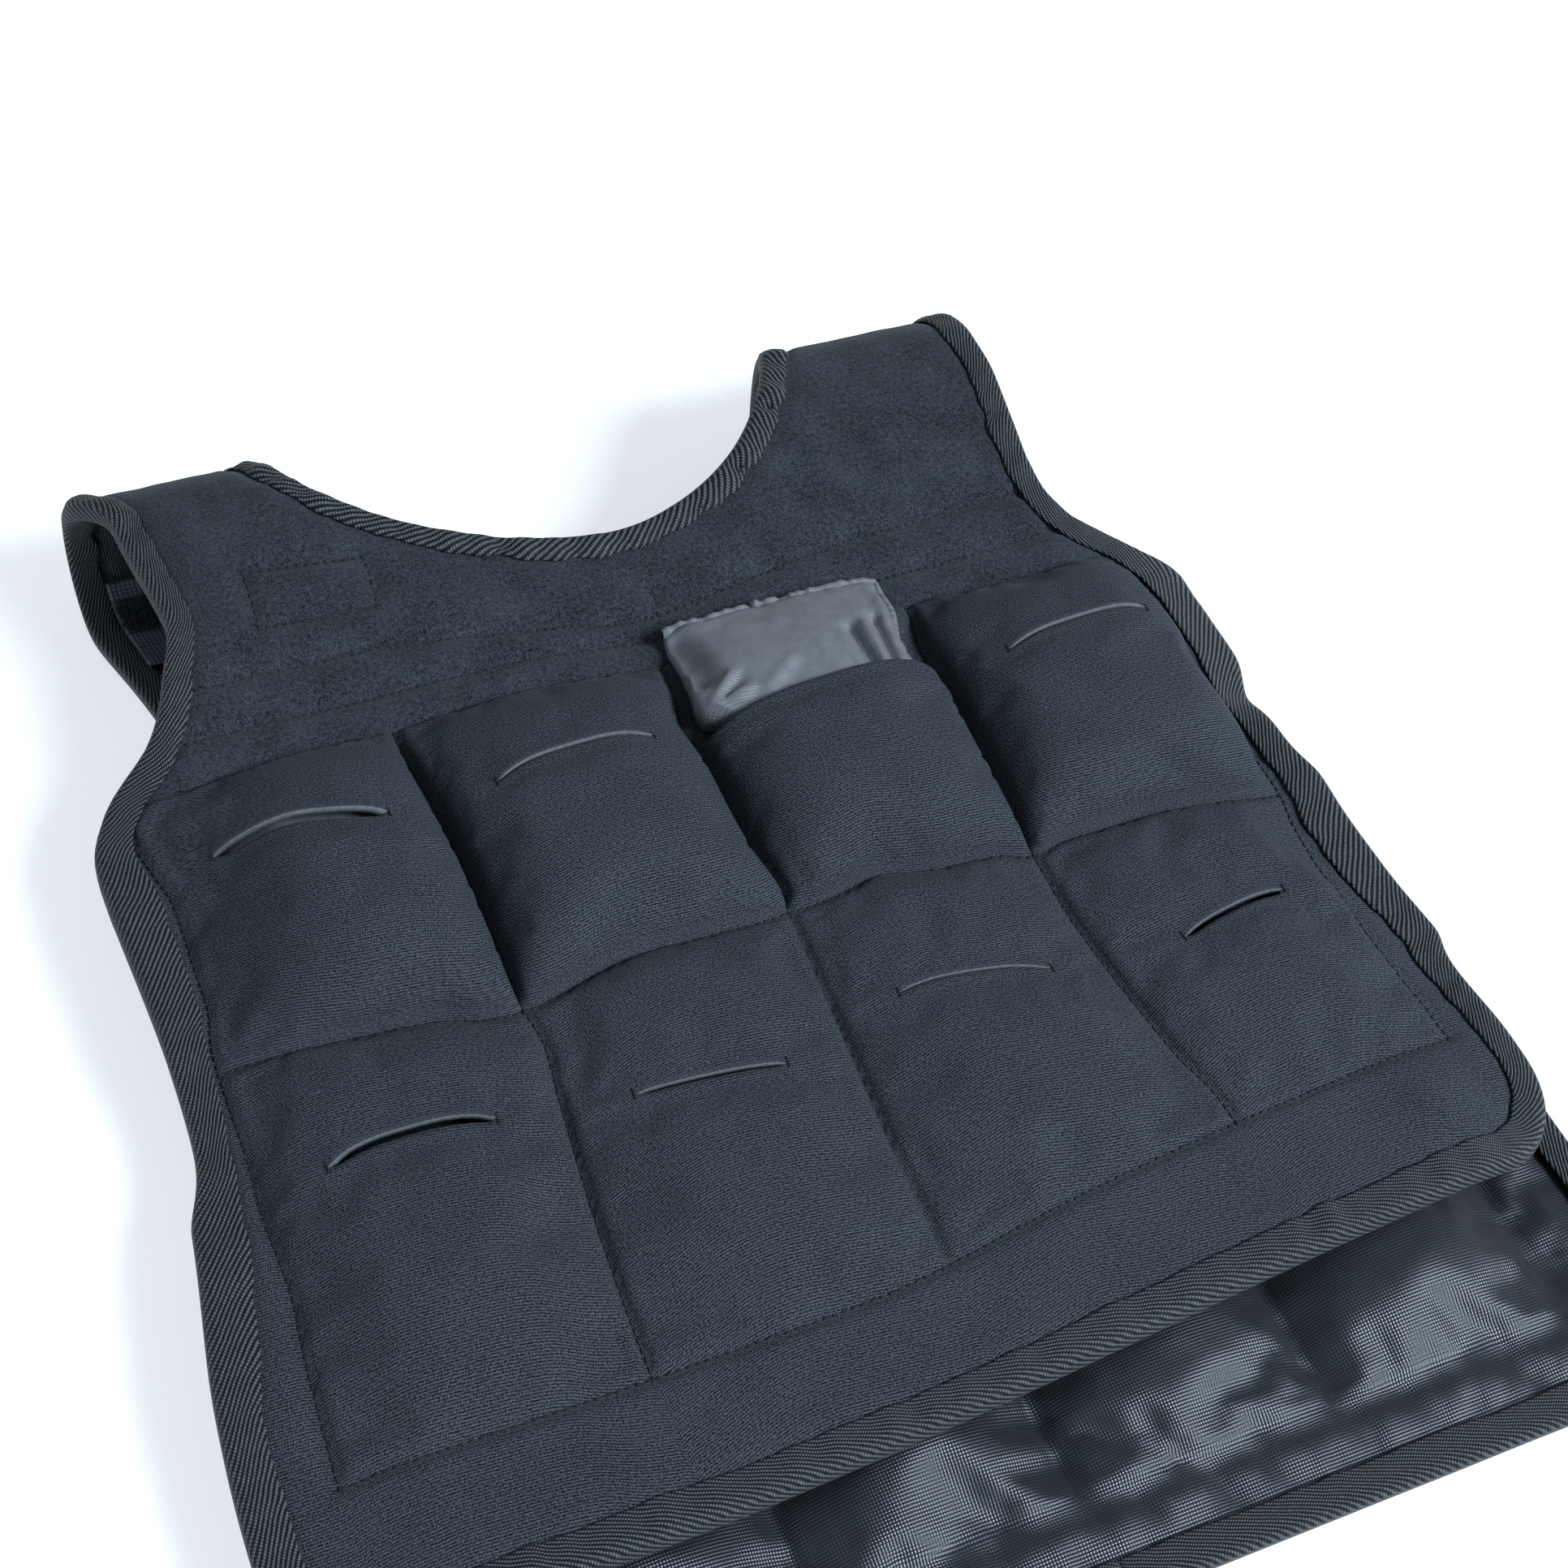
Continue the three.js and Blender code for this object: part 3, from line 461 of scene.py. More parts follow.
# %% Brushed loop fabric
def loop_pile():
    """The eye sees small dark gaps between tufts, and a felt-like surface that catches light at its edges."""
    m = new_material("Brushed loop fabric")
    uv = add(m, "ShaderNodeTexCoord").outputs["UV"]
    tufts = add(m, "ShaderNodeTexNoise", Vector=uv, Scale=1 / (1.6 * MM), Detail=4.0, Roughness=0.75).outputs["Fac"]
    fibres = add(m, "ShaderNodeTexNoise", Vector=uv, Scale=1 / (0.55 * MM), Detail=2.0, Roughness=0.7).outputs["Fac"]
    cloudy = add(m, "ShaderNodeTexNoise", Vector=uv, Scale=1 / (20 * MM), Detail=3.0, Roughness=0.6).outputs["Fac"]
    tone = weighted(m, (tufts, 0.36), (fibres, 0.5), (cloudy, 0.14))
    return finish_material(m, tone, "#020305", "#404a54", weighted(m, (tufts, 0.6), (fibres, 0.4)), 0.9, 0.6,
                           0.40, 0.64, Roughness=1.0, Sheen_Weight=0.2, Sheen_Roughness=0.5,
                           Sheen_Tint=linear("#a2b0b8"), Specular_IOR_Level=0.08, IOR=1.45)


LOOP = loop_pile()
print(LOOP.name, "has", len(LOOP.node_tree.nodes), "nodes")

# %% [markdown]
# ## Twill binding tape
#
# The edge tape is woven on the slant. Two bands at a right angle, turned together, give ribs that are
# broken into threads.

# %% Twill binding tape
def twill_tape():
    """The eye sees slanting ribs. Real ones are under 1 mm apart, and are drawn at 1.6 mm so that they show."""
    m = new_material("Twill binding tape")
    uv = add(m, "ShaderNodeTexCoord").outputs["UV"]
    turned = add(m, "ShaderNodeMapping", Vector=uv, Rotation=(0, 0, math.radians(58))).outputs[0]
    ribs = add(m, "ShaderNodeTexWave", {"bands_direction": "X"}, Vector=turned, Scale=wave_scale(1.6),
               Distortion=0.5, Detail=1.0).outputs["Fac"]
    threads = add(m, "ShaderNodeTexWave", {"bands_direction": "Y"}, Vector=turned, Scale=wave_scale(0.9),
                  Distortion=0.8, Detail=1.0).outputs["Fac"]
    fuzz = add(m, "ShaderNodeTexNoise", Vector=uv, Scale=1 / (1.3 * MM), Detail=2.0, Roughness=0.8).outputs["Fac"]
    part = add(m, "ShaderNodeMath", {"operation": "MULTIPLY"}, _0=threads, _1=0.6).outputs[0]
    part = add(m, "ShaderNodeMath", {"operation": "ADD"}, _0=part, _1=0.4).outputs[0]
    weave = add(m, "ShaderNodeMath", {"operation": "MULTIPLY"}, _0=ribs, _1=part).outputs[0]
    return finish_material(m, weighted(m, (weave, 0.7), (fuzz, 0.45)), "#020304", "#5a6873", weave, 1.0, 0.5,
                           0.34, 0.88, Roughness=0.65, Sheen_Weight=0.05, Specular_IOR_Level=0.2, IOR=1.5)


TAPE = twill_tape()
print(TAPE.name, "has", len(TAPE.node_tree.nodes), "nodes")

# %% [markdown]
# ## Woven nylons
#
# Lining, bags and webbing are all plain weaves of nylon and differ in thread spacing, colour and gloss. One
# function with those sizes makes all three.

# %% Woven nylons
def woven_nylon(name, dark, light, pitch, roughness, strength, gloss=0.5):
    """Crossing threads, pitch millimetres apart. Smooth fibres give the eye soft, slightly blue highlights."""
    m = new_material(name)
    uv = add(m, "ShaderNodeTexCoord").outputs["UV"]
    warp, weft = (add(m, "ShaderNodeTexWave", {"bands_direction": way}, Vector=uv, Scale=wave_scale(pitch),
                      Distortion=0.0, Detail=1.0).outputs["Fac"] for way in "XY")
    weave = weighted(m, (warp, 0.5), (weft, 0.5))
    cloudy = add(m, "ShaderNodeTexNoise", Vector=uv, Scale=1 / (6 * MM), Detail=3.0, Roughness=0.6).outputs["Fac"]
    return finish_material(m, weighted(m, (weave, 0.5), (cloudy, 0.5)), dark, light, weave, strength, 0.2,
                           0.2, 0.8, Roughness=roughness, Sheen_Weight=0.1, Specular_IOR_Level=gloss,
                           Specular_Tint=linear("#c0cddb"), IOR=1.53)


LINING = woven_nylon("Oxford nylon lining", "#04070b", "#151d26", 1.0, 0.36, 0.8, 0.8)
SATIN = woven_nylon("Satin nylon bag cloth", "#484f57", "#6f7780", 0.8, 0.42, 0.55, 0.4)
WEBBING = woven_nylon("Ribbed webbing", "#161c22", "#4c5863", 1.7, 0.5, 0.9)
print("woven:", LINING.name, SATIN.name, WEBBING.name, sep=", ")

# %% [markdown]
# ## Foam, thread and hooks
#
# Small things need little: the cut foam in the slits is grey and dull, the thread is nearly black, and the
# moulded hooks shine a little. A fine grain keeps them from looking flat.

# %% Foam, thread and hooks
def grained(name, dark, light, roughness):
    """A finish with a grain of about a millimetre: open cells in foam, lay in thread, mould marks on hooks."""
    m = new_material(name)
    spot_on = add(m, "ShaderNodeTexCoord").outputs["Object"]
    grain = add(m, "ShaderNodeTexNoise", Vector=spot_on, Scale=0.9 / MM, Detail=3.0).outputs["Fac"]
    return finish_material(m, grain, dark, light, grain, 0.4, 0.2, Roughness=roughness, IOR=1.5)


FOAM = grained("Cut foam edge", "#434b52", "#596269", 0.9)
THREAD = grained("Polyester thread", "#05080d", "#12181f", 0.8)
HOOKS = grained("Moulded nylon hooks", "#101215", "#2a2f34", 0.3)
print("materials:", len(bpy.data.materials))

# %% [markdown]
# ## The cut edge
#
# Cloth is pressed thin under the tape and free further in. The distance from the cut edge tells where, so
# the outline and the neck are kept as rings of points that every piece can ask.

# %% Distance to the cut edge
def outline_points(step=4.0):
    """The cut edge of the pattern, anticlockwise from the middle of the front hem, in millimetres."""
    low, high = FRONT_HEM + HEM_CORNER, BACK_HEM - HEM_CORNER
    side = np.linspace(low, high, int((high - low) / step))[1:-1]
    angle = np.linspace(0, math.pi / 2, 12)
    foot, top = half_width(low) - HEM_CORNER, half_width(high) - HEM_CORNER
    corner_low = np.column_stack([foot + HEM_CORNER * np.sin(angle), low - HEM_CORNER * np.cos(angle)])
    corner_high = np.column_stack([top + HEM_CORNER * np.cos(angle), high + HEM_CORNER * np.sin(angle)])
    hem = np.linspace(0, foot, int(foot / step))[:-1]
    back = np.linspace(top, 0, int(top / step))[1:]
    half = np.vstack([
        np.column_stack([hem, np.full(len(hem), FRONT_HEM)]), corner_low,
        np.column_stack([half_width(side), side]), corner_high,
        np.column_stack([back, np.full(len(back), BACK_HEM)]),
    ])
    return np.vstack([half, half[1:-1][::-1] * (-1, 1)])


def neck_points(count=150):
    angle = np.linspace(-math.pi / 2, math.pi / 2, count // 2)
    depth = np.where(angle < 0, NECK_DEPTH[0], NECK_DEPTH[1])
    t = FOLD_TOP + depth * np.sin(angle)
    right_side = np.column_stack([NECK_WIDTH / 2 * np.cos(angle) ** 1.06, t])
    return np.vstack([right_side, right_side[1:-1][::-1] * (-1, 1)])


OUTLINE, NECK = outline_points(), neck_points()
TAPE_COVER, TAPE_EASE = 13, 6


def distance_to(ring, s, t):
    s, t = np.asarray(s, float).ravel(), np.asarray(t, float).ravel()
    best = np.full(len(s), np.inf)
    for a, b in zip(ring, np.roll(ring, -1, axis=0)):
        np.minimum(best, from_segment(s, t, *a, *b), out=best)
    return best


def pressed(depth, edge):
    """How far the tape presses cloth down that lies edge millimetres inside the cut."""
    return depth * smooth((TAPE_COVER - edge) / TAPE_EASE)


print("outer edge", len(OUTLINE), "points, neck", len(NECK))

# %% [markdown]
# ## A grid that follows the seams
#
# The front is one sheet with seams sewn across it. A grid with a line on each seam and each mouth lets
# seams stay sharp, and lines that crowd near the seams give the steep sides of a pillow enough faces.
# Subdividing a coarse mesh would round the seams away.

# %% Pockets and the grid of the front
FULL = 23.0
FLANGE = 8  # the outer columns run this far past the body before they are squeezed to the edge
POCKETS = [  # row, column, fill, mouth width, mouth level, tilt, arch, gape, lift
    (0, 0, 1.0, 58, -39.5, -0.2, 0.8, 2.0, 1.3), (0, 1, 0.95, 57, -44, 0.02, 4.0, 0.3, 1.1),
    (0, 2, 1.0, 90, -41, 0.05, 2.0, 0.0, 0.0), (0, 3, 1.05, 56, -43.5, 0.10, 3.0, 0.4, 1.0),
    (1, 0, 0.3, 53, -156.5, 0.06, 4.0, 1.5, 0.7), (1, 1, 0.27, 50, -166, -0.2, 0.8, 0.9, 0.3),
    (1, 2, 0.27, 52, -164.5, -0.14, 3.0, 0.4, 0.5), (1, 3, 0.3, 44, -166.5, 0.22, 2.5, 1.6, 0.6),
]
MOUTH_ROWS = (-41.0, -163.0)


def eased(u, ease=0.35):
    return (1 - ease) * u + ease * np.sin(u * math.pi / 2)


def shell_columns(per_pocket=40, margin=6):
    across = POCKET / 2 * eased(np.linspace(-1, 1, per_pocket + 1))[:-1]
    inner = np.concatenate([GRID * (k - 2) / 2 + POCKET / 2 + across for k in range(4)] + [[GRID]])
    side = np.linspace(GRID, BODY_HALF + FLANGE, margin + 1)[1:]
    return np.concatenate([-side[::-1], inner, side])


def shell_rows():
    parts = [(FRONT_HEM, LOWER_SEAM, 18), (LOWER_SEAM, MOUTH_ROWS[1], 34), (MOUTH_ROWS[1], MIDDLE_SEAM, 20),
             (MIDDLE_SEAM, MOUTH_ROWS[0], 32), (MOUTH_ROWS[0], -0.2, 18)]
    rows = [low + (high - low) * (eased(np.linspace(-1, 1, n + 1))[:-1] + 1) / 2 for low, high, n in parts]
    return np.concatenate(rows + [[-0.2]])


columns, rows = shell_columns(), shell_rows()
row_t, col_s = np.meshgrid(rows, columns, indexing="ij")


def margin_squeeze(s, t):
    """Moves the outer columns so that the last one runs along the cut edge, round corners included."""
    low = FRONT_HEM + HEM_CORNER
    rounding = HEM_CORNER - np.sqrt(np.maximum(0, HEM_CORNER**2 - (low - t) ** 2))
    edge = half_width(t) - np.where(t < low, rounding, 0)
    anchor = GRID - 45 * smooth((-250 - t) / 25)
    outer = BODY_HALF + FLANGE
    size = np.abs(s)
    squeezed = anchor + (size - anchor) * (edge - anchor) / (outer - anchor)
    return np.sign(s) * np.where(size > anchor, squeezed, size)


s_grid = margin_squeeze(col_s, row_t)
print("shell grid:", s_grid.shape)

# %% [markdown]
# ## Pillows over the bags
#
# A filled pocket is steep at its seams and nearly flat in the middle. Pressure in a cloth simulation gives
# that shape too, but a formula with a power for each side can be matched to the real pockets: full above,
# slack below, and pressed flat beside the loose bag.

# %% Pillows
def pocket_share(s, t):
    column = np.clip(((s + GRID) // POCKET).astype(int), 0, 3)
    u = ((s + GRID) / POCKET - column) * 2 - 1
    upper = t > MIDDLE_SEAM
    top = np.where(upper, 0, MIDDLE_SEAM)
    tall = np.where(upper, -MIDDLE_SEAM, MIDDLE_SEAM - LOWER_SEAM)
    v = (t - top) / tall * 2 + 1
    inside = (np.abs(s) <= GRID) & (t >= LOWER_SEAM)
    return column, upper, u, v, inside


def pillow(k, power=3.0, edge=0.6):
    return np.maximum(0, 1 - np.abs(k) ** power) ** edge


def bulge(s, t, above):
    """Height of the shell over its pockets; above is True for cloth on the yoke's side of a mouth."""
    column, upper, u, v, inside = pocket_share(s, t)
    fill = np.zeros_like(s)
    for row, col, full, *_ in POCKETS:
        fill[(column == col) & (upper == (row == 0))] = full
    rising = np.where(v > 0, np.maximum(0, 1 - np.abs(v) ** 2.2) ** 0.75, pillow(v, 4.0, 0.5))
    side = np.where(upper, pillow(u, 3.2, 0.58), pillow(u, 2.2, 0.8))
    side = np.where(upper & (column == 0) & (u < 0.1), smooth((u + 1) / 1.1), side)
    lower = np.where(v > 0, pillow(v, 3.6, 0.6), pillow(v, 2.2, 0.8))
    height = FULL * fill * side * np.where(upper, rising, lower)
    out_of_mouth = (column == 2) & upper
    lip = 0.92 * FULL * pillow(u, 3.0, 0.6) * pillow(np.minimum(v, 0), 3.4, 0.55)
    height = np.where(out_of_mouth, np.where(above, 0.12 * lip, lip), height)
    return np.where(inside, height, 0.0)


middle_rise = bulge(np.array([-POCKET / 2]), np.array([MIDDLE_SEAM / 2]), np.array([False]))[0]
print("a full pocket rises", round(float(middle_rise), 1), "mm")

# %% [markdown]
# ## Slit mouths
#
# Each pocket has a cut across it that bends, tilts and gapes a little. A boolean cut would leave ragged
# faces, so the grid's own line is bent into the slit, and its two lips part.

# %% Slit mouths
def pocket_centre(col):
    return -GRID + POCKET * (col + 0.5)


def mouth_offset(s, t):
    """Shift along the pattern that bends the straight mouth rows into the real slits."""
    shift = np.zeros_like(s)
    for row, col, _, mouth, level, tilt, arch, _, _ in POCKETS:
        centre = pocket_centre(col)
        k = (s - centre) / (mouth / 2)
        reach = np.clip((POCKET / 2 - np.abs(s - centre)) / (POCKET / 2 - mouth / 2 + 0.1), 0, 1)
        bend = level - MOUTH_ROWS[row] + tilt * np.clip(k, -1, 1) * mouth / 2
        bend += arch * np.maximum(0, 1 - np.abs(k) ** 3)
        near = np.exp(-(((t - MOUTH_ROWS[row]) / 18) ** 2)) * (np.abs(s - centre) < POCKET / 2)
        shift += bend * near * smooth(reach)
    return shift


def mouth_opening(s, t, above):
    """Gape along the pattern and lift of the cloth near each mouth, in millimetres."""
    gape, lift = np.zeros_like(s), np.zeros_like(s)
    for row, col, _, mouth, _, _, _, opened, raised in POCKETS:
        centre = pocket_centre(col)
        k = np.abs(s - centre) / (mouth / 2)
        along_mouth = np.maximum(0, 1 - k**12) * (k < 1)
        far = np.abs(t - MOUTH_ROWS[row])
        on_side = np.where(above, t >= MOUTH_ROWS[row] - 1e-6, t <= MOUTH_ROWS[row] + 1e-6)
        fade = np.exp(-((far / 9) ** 2)) * on_side * along_mouth
        gape += np.where(above, 0.3, -1.0) * opened * fade
        lift += np.where(above, raised, -0.7 * opened) * fade
    return gape, lift


mouth_widths = [row[3] for row in POCKETS]
print("mouths:", len(POCKETS), "from", min(mouth_widths), "to", max(mouth_widths), "mm wide")

# %% [markdown]
# ## Adding up the front
#
# The height of the cloth is a sum of what acts on it: the tape presses the edge, bags push from below, lips
# lift, and stitches draw a groove along each seam.

# %% Shape of the front
SHELL_TOP, GROOVE_DEPTH, GROOVE_WIDTH = 3.1, 1.7, 1.5


def shell_points(s, t, above):
    gape, lift = mouth_opening(s, t, above)
    edge = distance_to(OUTLINE, s, t)
    squeeze = pressed(1.1, edge)
    clear = smooth((edge - 10) / 12)
    t_real = t + mouth_offset(s, t) + gape
    _, _, u, _, _ = pocket_share(s, t)
    seam = np.minimum((1 - np.abs(u)) * POCKET / 2, np.minimum(np.abs(t - MIDDLE_SEAM), np.abs(t - LOWER_SEAM)))
    seam = np.where(t < LOWER_SEAM, np.abs(t - LOWER_SEAM), seam)
    groove = GROOVE_DEPTH * np.exp(-((seam / GROOVE_WIDTH) ** 2)) * (np.abs(s) < GRID + 3)
    out = SHELL_TOP - squeeze + bulge(s, t, above) * clear + lift - groove
    return place(s, t_real, out)


print("a seam's groove is", GROOVE_DEPTH, "mm deep")

# %% [markdown]
# ## Opening the grid
#
# Along a mouth each point is made twice, once for each lip, so the sheet is really open there. The lips
# then show the foam where Solidify closes the wall.

# %% Cutting the mouths into the grid
split = {}
count = s_grid.size
flat_s, flat_t = s_grid.ravel(), row_t.ravel()
above_flag = np.zeros(count, bool)
mouth_index = [int(np.argmin(np.abs(rows - level))) for level in MOUTH_ROWS]
above_flag.reshape(s_grid.shape)[mouth_index[0] + 1:, :] = True
lower_band = (rows > MOUTH_ROWS[1]) & (rows < MIDDLE_SEAM)
above_flag.reshape(s_grid.shape)[lower_band, :] = True
extra_s, extra_t = [], []
for row, col, _, mouth, *_ in POCKETS:
    centre = -GRID + POCKET * (col + 0.5)
    for j in np.nonzero(np.abs(columns - centre) < mouth / 2 - 0.5)[0]:
        split[(mouth_index[row], j)] = count + len(extra_s)
        extra_s.append(s_grid[mouth_index[row], j])
        extra_t.append(rows[mouth_index[row]])
all_s = np.concatenate([flat_s, extra_s])
all_t = np.concatenate([flat_t, extra_t])
all_above = np.concatenate([above_flag, np.ones(len(extra_s), bool)])
index = np.arange(count).reshape(s_grid.shape)
faces = []
for i in range(len(rows) - 1):
    for j in range(len(columns) - 1):
        bottom = [split.get((i, c), index[i, c]) for c in (j, j + 1)]
        faces.append((bottom[0], bottom[1], index[i + 1, j + 1], index[i + 1, j]))
shell_xyz = shell_points(all_s, all_t, all_above)
grid = shell_xyz[:count].reshape(len(rows), len(columns), 3)
cloth_u = np.cumsum(np.pad(np.linalg.norm(np.diff(grid, axis=1), axis=2), ((0, 0), (1, 0))), axis=1)
cloth_v = np.cumsum(np.pad(np.linalg.norm(np.diff(grid, axis=0), axis=2), ((1, 0), (0, 0))), axis=0)
# The pattern is measured along the cloth, so that the knit isn't stretched over a full pocket.
cloth_u -= cloth_u[:, [len(columns) // 2]]
cloth_v -= cloth_v[[int(np.argmin(np.abs(rows - MIDDLE_SEAM)))]]
shell_uv = np.column_stack([cloth_u.ravel(), cloth_v.ravel()])
shell_uv = np.vstack([shell_uv, [shell_uv[index[key]] for key in split]])
front = make_object("front_cloth", shell_xyz, faces, uv=shell_uv)
front.data.materials.append(NEOPRENE)
front.data.materials.append(FOAM)
print(f"front cloth: {len(faces)} faces, flat {np.ptp(shell_uv[:, 0]):.3f} x {np.ptp(shell_uv[:, 1]):.3f} m")

# %% [markdown]
# ## Letting cloth settle
#
# Formulas alone look too regular. A short simulation under light pressure lets the cloth find small creases
# of its own. It is fixed at seams and edges and may only move a few millimetres, so it can't leave its
# place.

# %% Cloth simulation
def points_of(mesh):
    points = np.empty(len(mesh.vertices) * 3)
    mesh.vertices.foreach_get("co", points)
    return points.reshape(-1, 3)


def settle(obj, held, pressure, grow, frames=20, limit=4.0, stiffness=15.0, bending=0.5):
    """Lets cloth settle in place. held has one weight a vertex, from 0, free, to 1, fixed."""
    before = points_of(obj.data)
    group = obj.vertex_groups.new(name="Held")
    steps = np.round(held, 1)
    for weight in np.unique(steps[steps > 0]):
        group.add([int(i) for i in np.nonzero(steps == weight)[0]], float(weight), "REPLACE")
    cloth = obj.modifiers.new("Cloth", "CLOTH")
    settings = cloth.settings
    settings.quality, settings.mass = 4, 0.15
    settings.tension_stiffness = settings.compression_stiffness = stiffness
    settings.shear_stiffness, settings.bending_stiffness = stiffness / 3, bending
    settings.use_pressure, settings.uniform_pressure_force = True, pressure
    settings.shrink_min = -grow
    settings.vertex_group_mass = group.name
    settings.effector_weights.gravity = 0
    cloth.collision_settings.use_collision = False
    cloth.point_cache.frame_end = frames
    for frame_number in range(1, frames + 1):
        scene.frame_set(frame_number)
    bake_modifiers(obj)
    moved = points_of(obj.data) - before
    far = np.linalg.norm(moved, axis=1, keepdims=True)
    moved *= np.minimum(1, limit * MM / np.maximum(far, 1e-9))
    obj.data.vertices.foreach_set("co", (before + moved).ravel())
    obj.data.update()
    print(f"{obj.name} settled by up to {far.max() / MM:.1f} mm, {far.mean() / MM:.2f} mm on average")

# %% [markdown]
# ## The front settles
#
# Seams and mouths are held, and the rest is stiff, because foam-backed knit bends only in wide curves. A
# thin cloth would wrinkle like a bed sheet here.

# %% The front settles
_, upper, u, v, inside = pocket_share(all_s, all_t)
edge_near = np.minimum((1 - np.abs(u)) * POCKET / 2, (1 - np.abs(v)) * np.where(upper, 58.5, 64.5))
mouth_near = np.minimum(np.abs(all_t - MOUTH_ROWS[0]), np.abs(all_t - MOUTH_ROWS[1]))
held = np.where(inside, 1 - smooth((edge_near - 0.5) / 3.0), 1.0)
near_mouth = np.zeros(len(all_s), bool)
for row, col, _, mouth, *_ in POCKETS:
    beside = np.abs(all_s + GRID - POCKET * (col + 0.5)) < mouth / 2 + 4
    near_mouth |= beside & (np.abs(all_t - MOUTH_ROWS[row]) < 7)
held = np.where(near_mouth, 1.0, held)
FOAM_WALL = 2.6
settle(front, held, 1.2, 0.012, limit=4.0, stiffness=40, bending=14.0)
thicken(front, FOAM_WALL, -1.0, rim_slot=1)
bake_modifiers(front)
for face in front.data.polygons:
    level = all_t[face.vertices[0] % len(all_t)]
    if face.material_index == 1 and min(abs(level - MOUTH_ROWS[0]), abs(level - MOUTH_ROWS[1])) > 2:
        face.material_index = 0  # only the mouths show the foam, since tape covers the outer edge
print("faces of cut foam:", sum(face.material_index for face in front.data.polygons))

# %% [markdown]
# ## Panels between neck and edge
#
# Yoke, linings and back are plain sheets with a round hole for the neck. Each row runs from the neck to the
# edge on both sides, which keeps the cut edges smooth without a boolean.

# %% Panels cut to the outline and the neck
def edge_half(t):
    low, high = FRONT_HEM + HEM_CORNER - t, t - BACK_HEM + HEM_CORNER
    into = np.clip(np.maximum(low, high), 0, HEM_CORNER)
    return half_width(t) - (HEM_CORNER - np.sqrt(HEM_CORNER**2 - into**2))


def hem_rows(start, stop, step):
    return np.linspace(start, stop, max(2, int(abs(stop - start) / step) + 1))


def panel(name, rows, count, out, material):
    """A sheet over the given levels, between the neck and the outer edge, in two halves joined in the middle."""
    f = np.linspace(0, 1, count)
    inner, outer = neck_half(rows), edge_half(rows)
    right_side = inner[:, None] + (outer - inner)[:, None] * f
    s = np.hstack([-right_side[:, ::-1], right_side])
    t = np.repeat(rows[:, None], 2 * count, axis=1)
    index = np.arange(s.size).reshape(s.shape)
    joined = inner < 1e-6
    index[joined, count - 1] = index[joined, count]
    faces = []
    for i in range(len(rows) - 1):
        for j in list(range(count - 1)) + list(range(count, 2 * count - 1)):
            faces.append((index[i, j], index[i, j + 1], index[i + 1, j + 1], index[i + 1, j]))
    used, faces = np.unique(np.array(faces), return_inverse=True)
    faces = faces.reshape(-1, 4)
    s, t = s.ravel()[used], t.ravel()[used]
    obj = make_object(name, place(s, t, out(s, t)), faces, uv=np.column_stack([s, t]) * MM)
    obj.data.materials.append(material)
    return obj, s, t


def wrinkle(s, t, size, seed):
    noise = mathutils.noise.noise
    return np.array([noise((a / size, b / size, seed)) for a, b in zip(s, t)])


NECK_LOW = FOLD_TOP - NECK_DEPTH[0] * np.cos(np.linspace(0, math.pi / 2, 44))
NECK_HIGH = FOLD_TOP + NECK_DEPTH[1] * np.sin(np.linspace(0, math.pi / 2, 40))
print("rows beside the neck:", len(NECK_LOW) + len(NECK_HIGH))

# %% [markdown]
# ## The yoke
#
# The yoke runs over the shoulders to the back and is quilted with a few stitched lines. Each line is a
# groove in the surface, since a line in the material alone would vanish in low light.

# %% Yoke
YOKE_TOP = 3.4
YOKE_LINES = [  # stitched lines of the yoke: across and along of each corner
    [(-186, 17), (-60, 14), (0, 13), (60, 14), (186, 17)],
    [(-176, 34), (-90, 32), (-30, 24), (0, 21), (30, 24), (90, 32), (176, 34)],
    [(-125, 70), (-82, 67), (-86, 47), (-128, 49), (-125, 70)],
    [(8, 29), (6, 16)],
]


def line_distance(s, t, lines):
    best = np.full(len(s), np.inf)
    for line in lines:
        for a, b in zip(line, line[1:]):
            np.minimum(best, from_segment(s, t, *a, *b), out=best)
    return best


def yoke_out(s, t):
    edge = np.minimum(distance_to(OUTLINE, s, t), distance_to(NECK, s, t))
    groove = 2.4 * np.exp(-((line_distance(s, t, YOKE_LINES) / 2.6) ** 2))
    seam = 1.2 * np.exp(-((t / 2.5) ** 2))
    uneven = 0.35 * wrinkle(s, t, 22, 3.0)
    return YOKE_TOP - pressed(1.0, edge) - groove - seam + uneven + 0.2 * wrinkle(s, t, 7, 5.0)


yoke_rows = np.concatenate([hem_rows(0.2, NECK_LOW[0], 2.4)[:-1], NECK_LOW[:-1], NECK_HIGH[:-1],
                            hem_rows(NECK_HIGH[-1], BACK_SEAM - 0.2, 4)])
yoke, _, _ = panel("yoke_cloth", yoke_rows, 64, yoke_out, LOOP)
yoke.data.materials.append(FOAM)
thicken(yoke, 2.9, -1.0, rim_slot=1)
print("yoke cloth:", len(yoke.data.polygons), "faces")

# %% [markdown]
# ## The linings
#
# The inside is thin nylon that crumples. Low puffs follow the pockets of the back, noise adds rumples, and
# the simulation loosens them, held at the seams.

# %% Linings
CELLS = np.array([BACK_SEAM, BACK_SEAM - MIDDLE_SEAM, BACK_SEAM - LOWER_SEAM, BACK_HEM - HEM_CORNER])
PUFF_CELL, PUFF_HALF, PUFF_RISE = 88, 176, 9


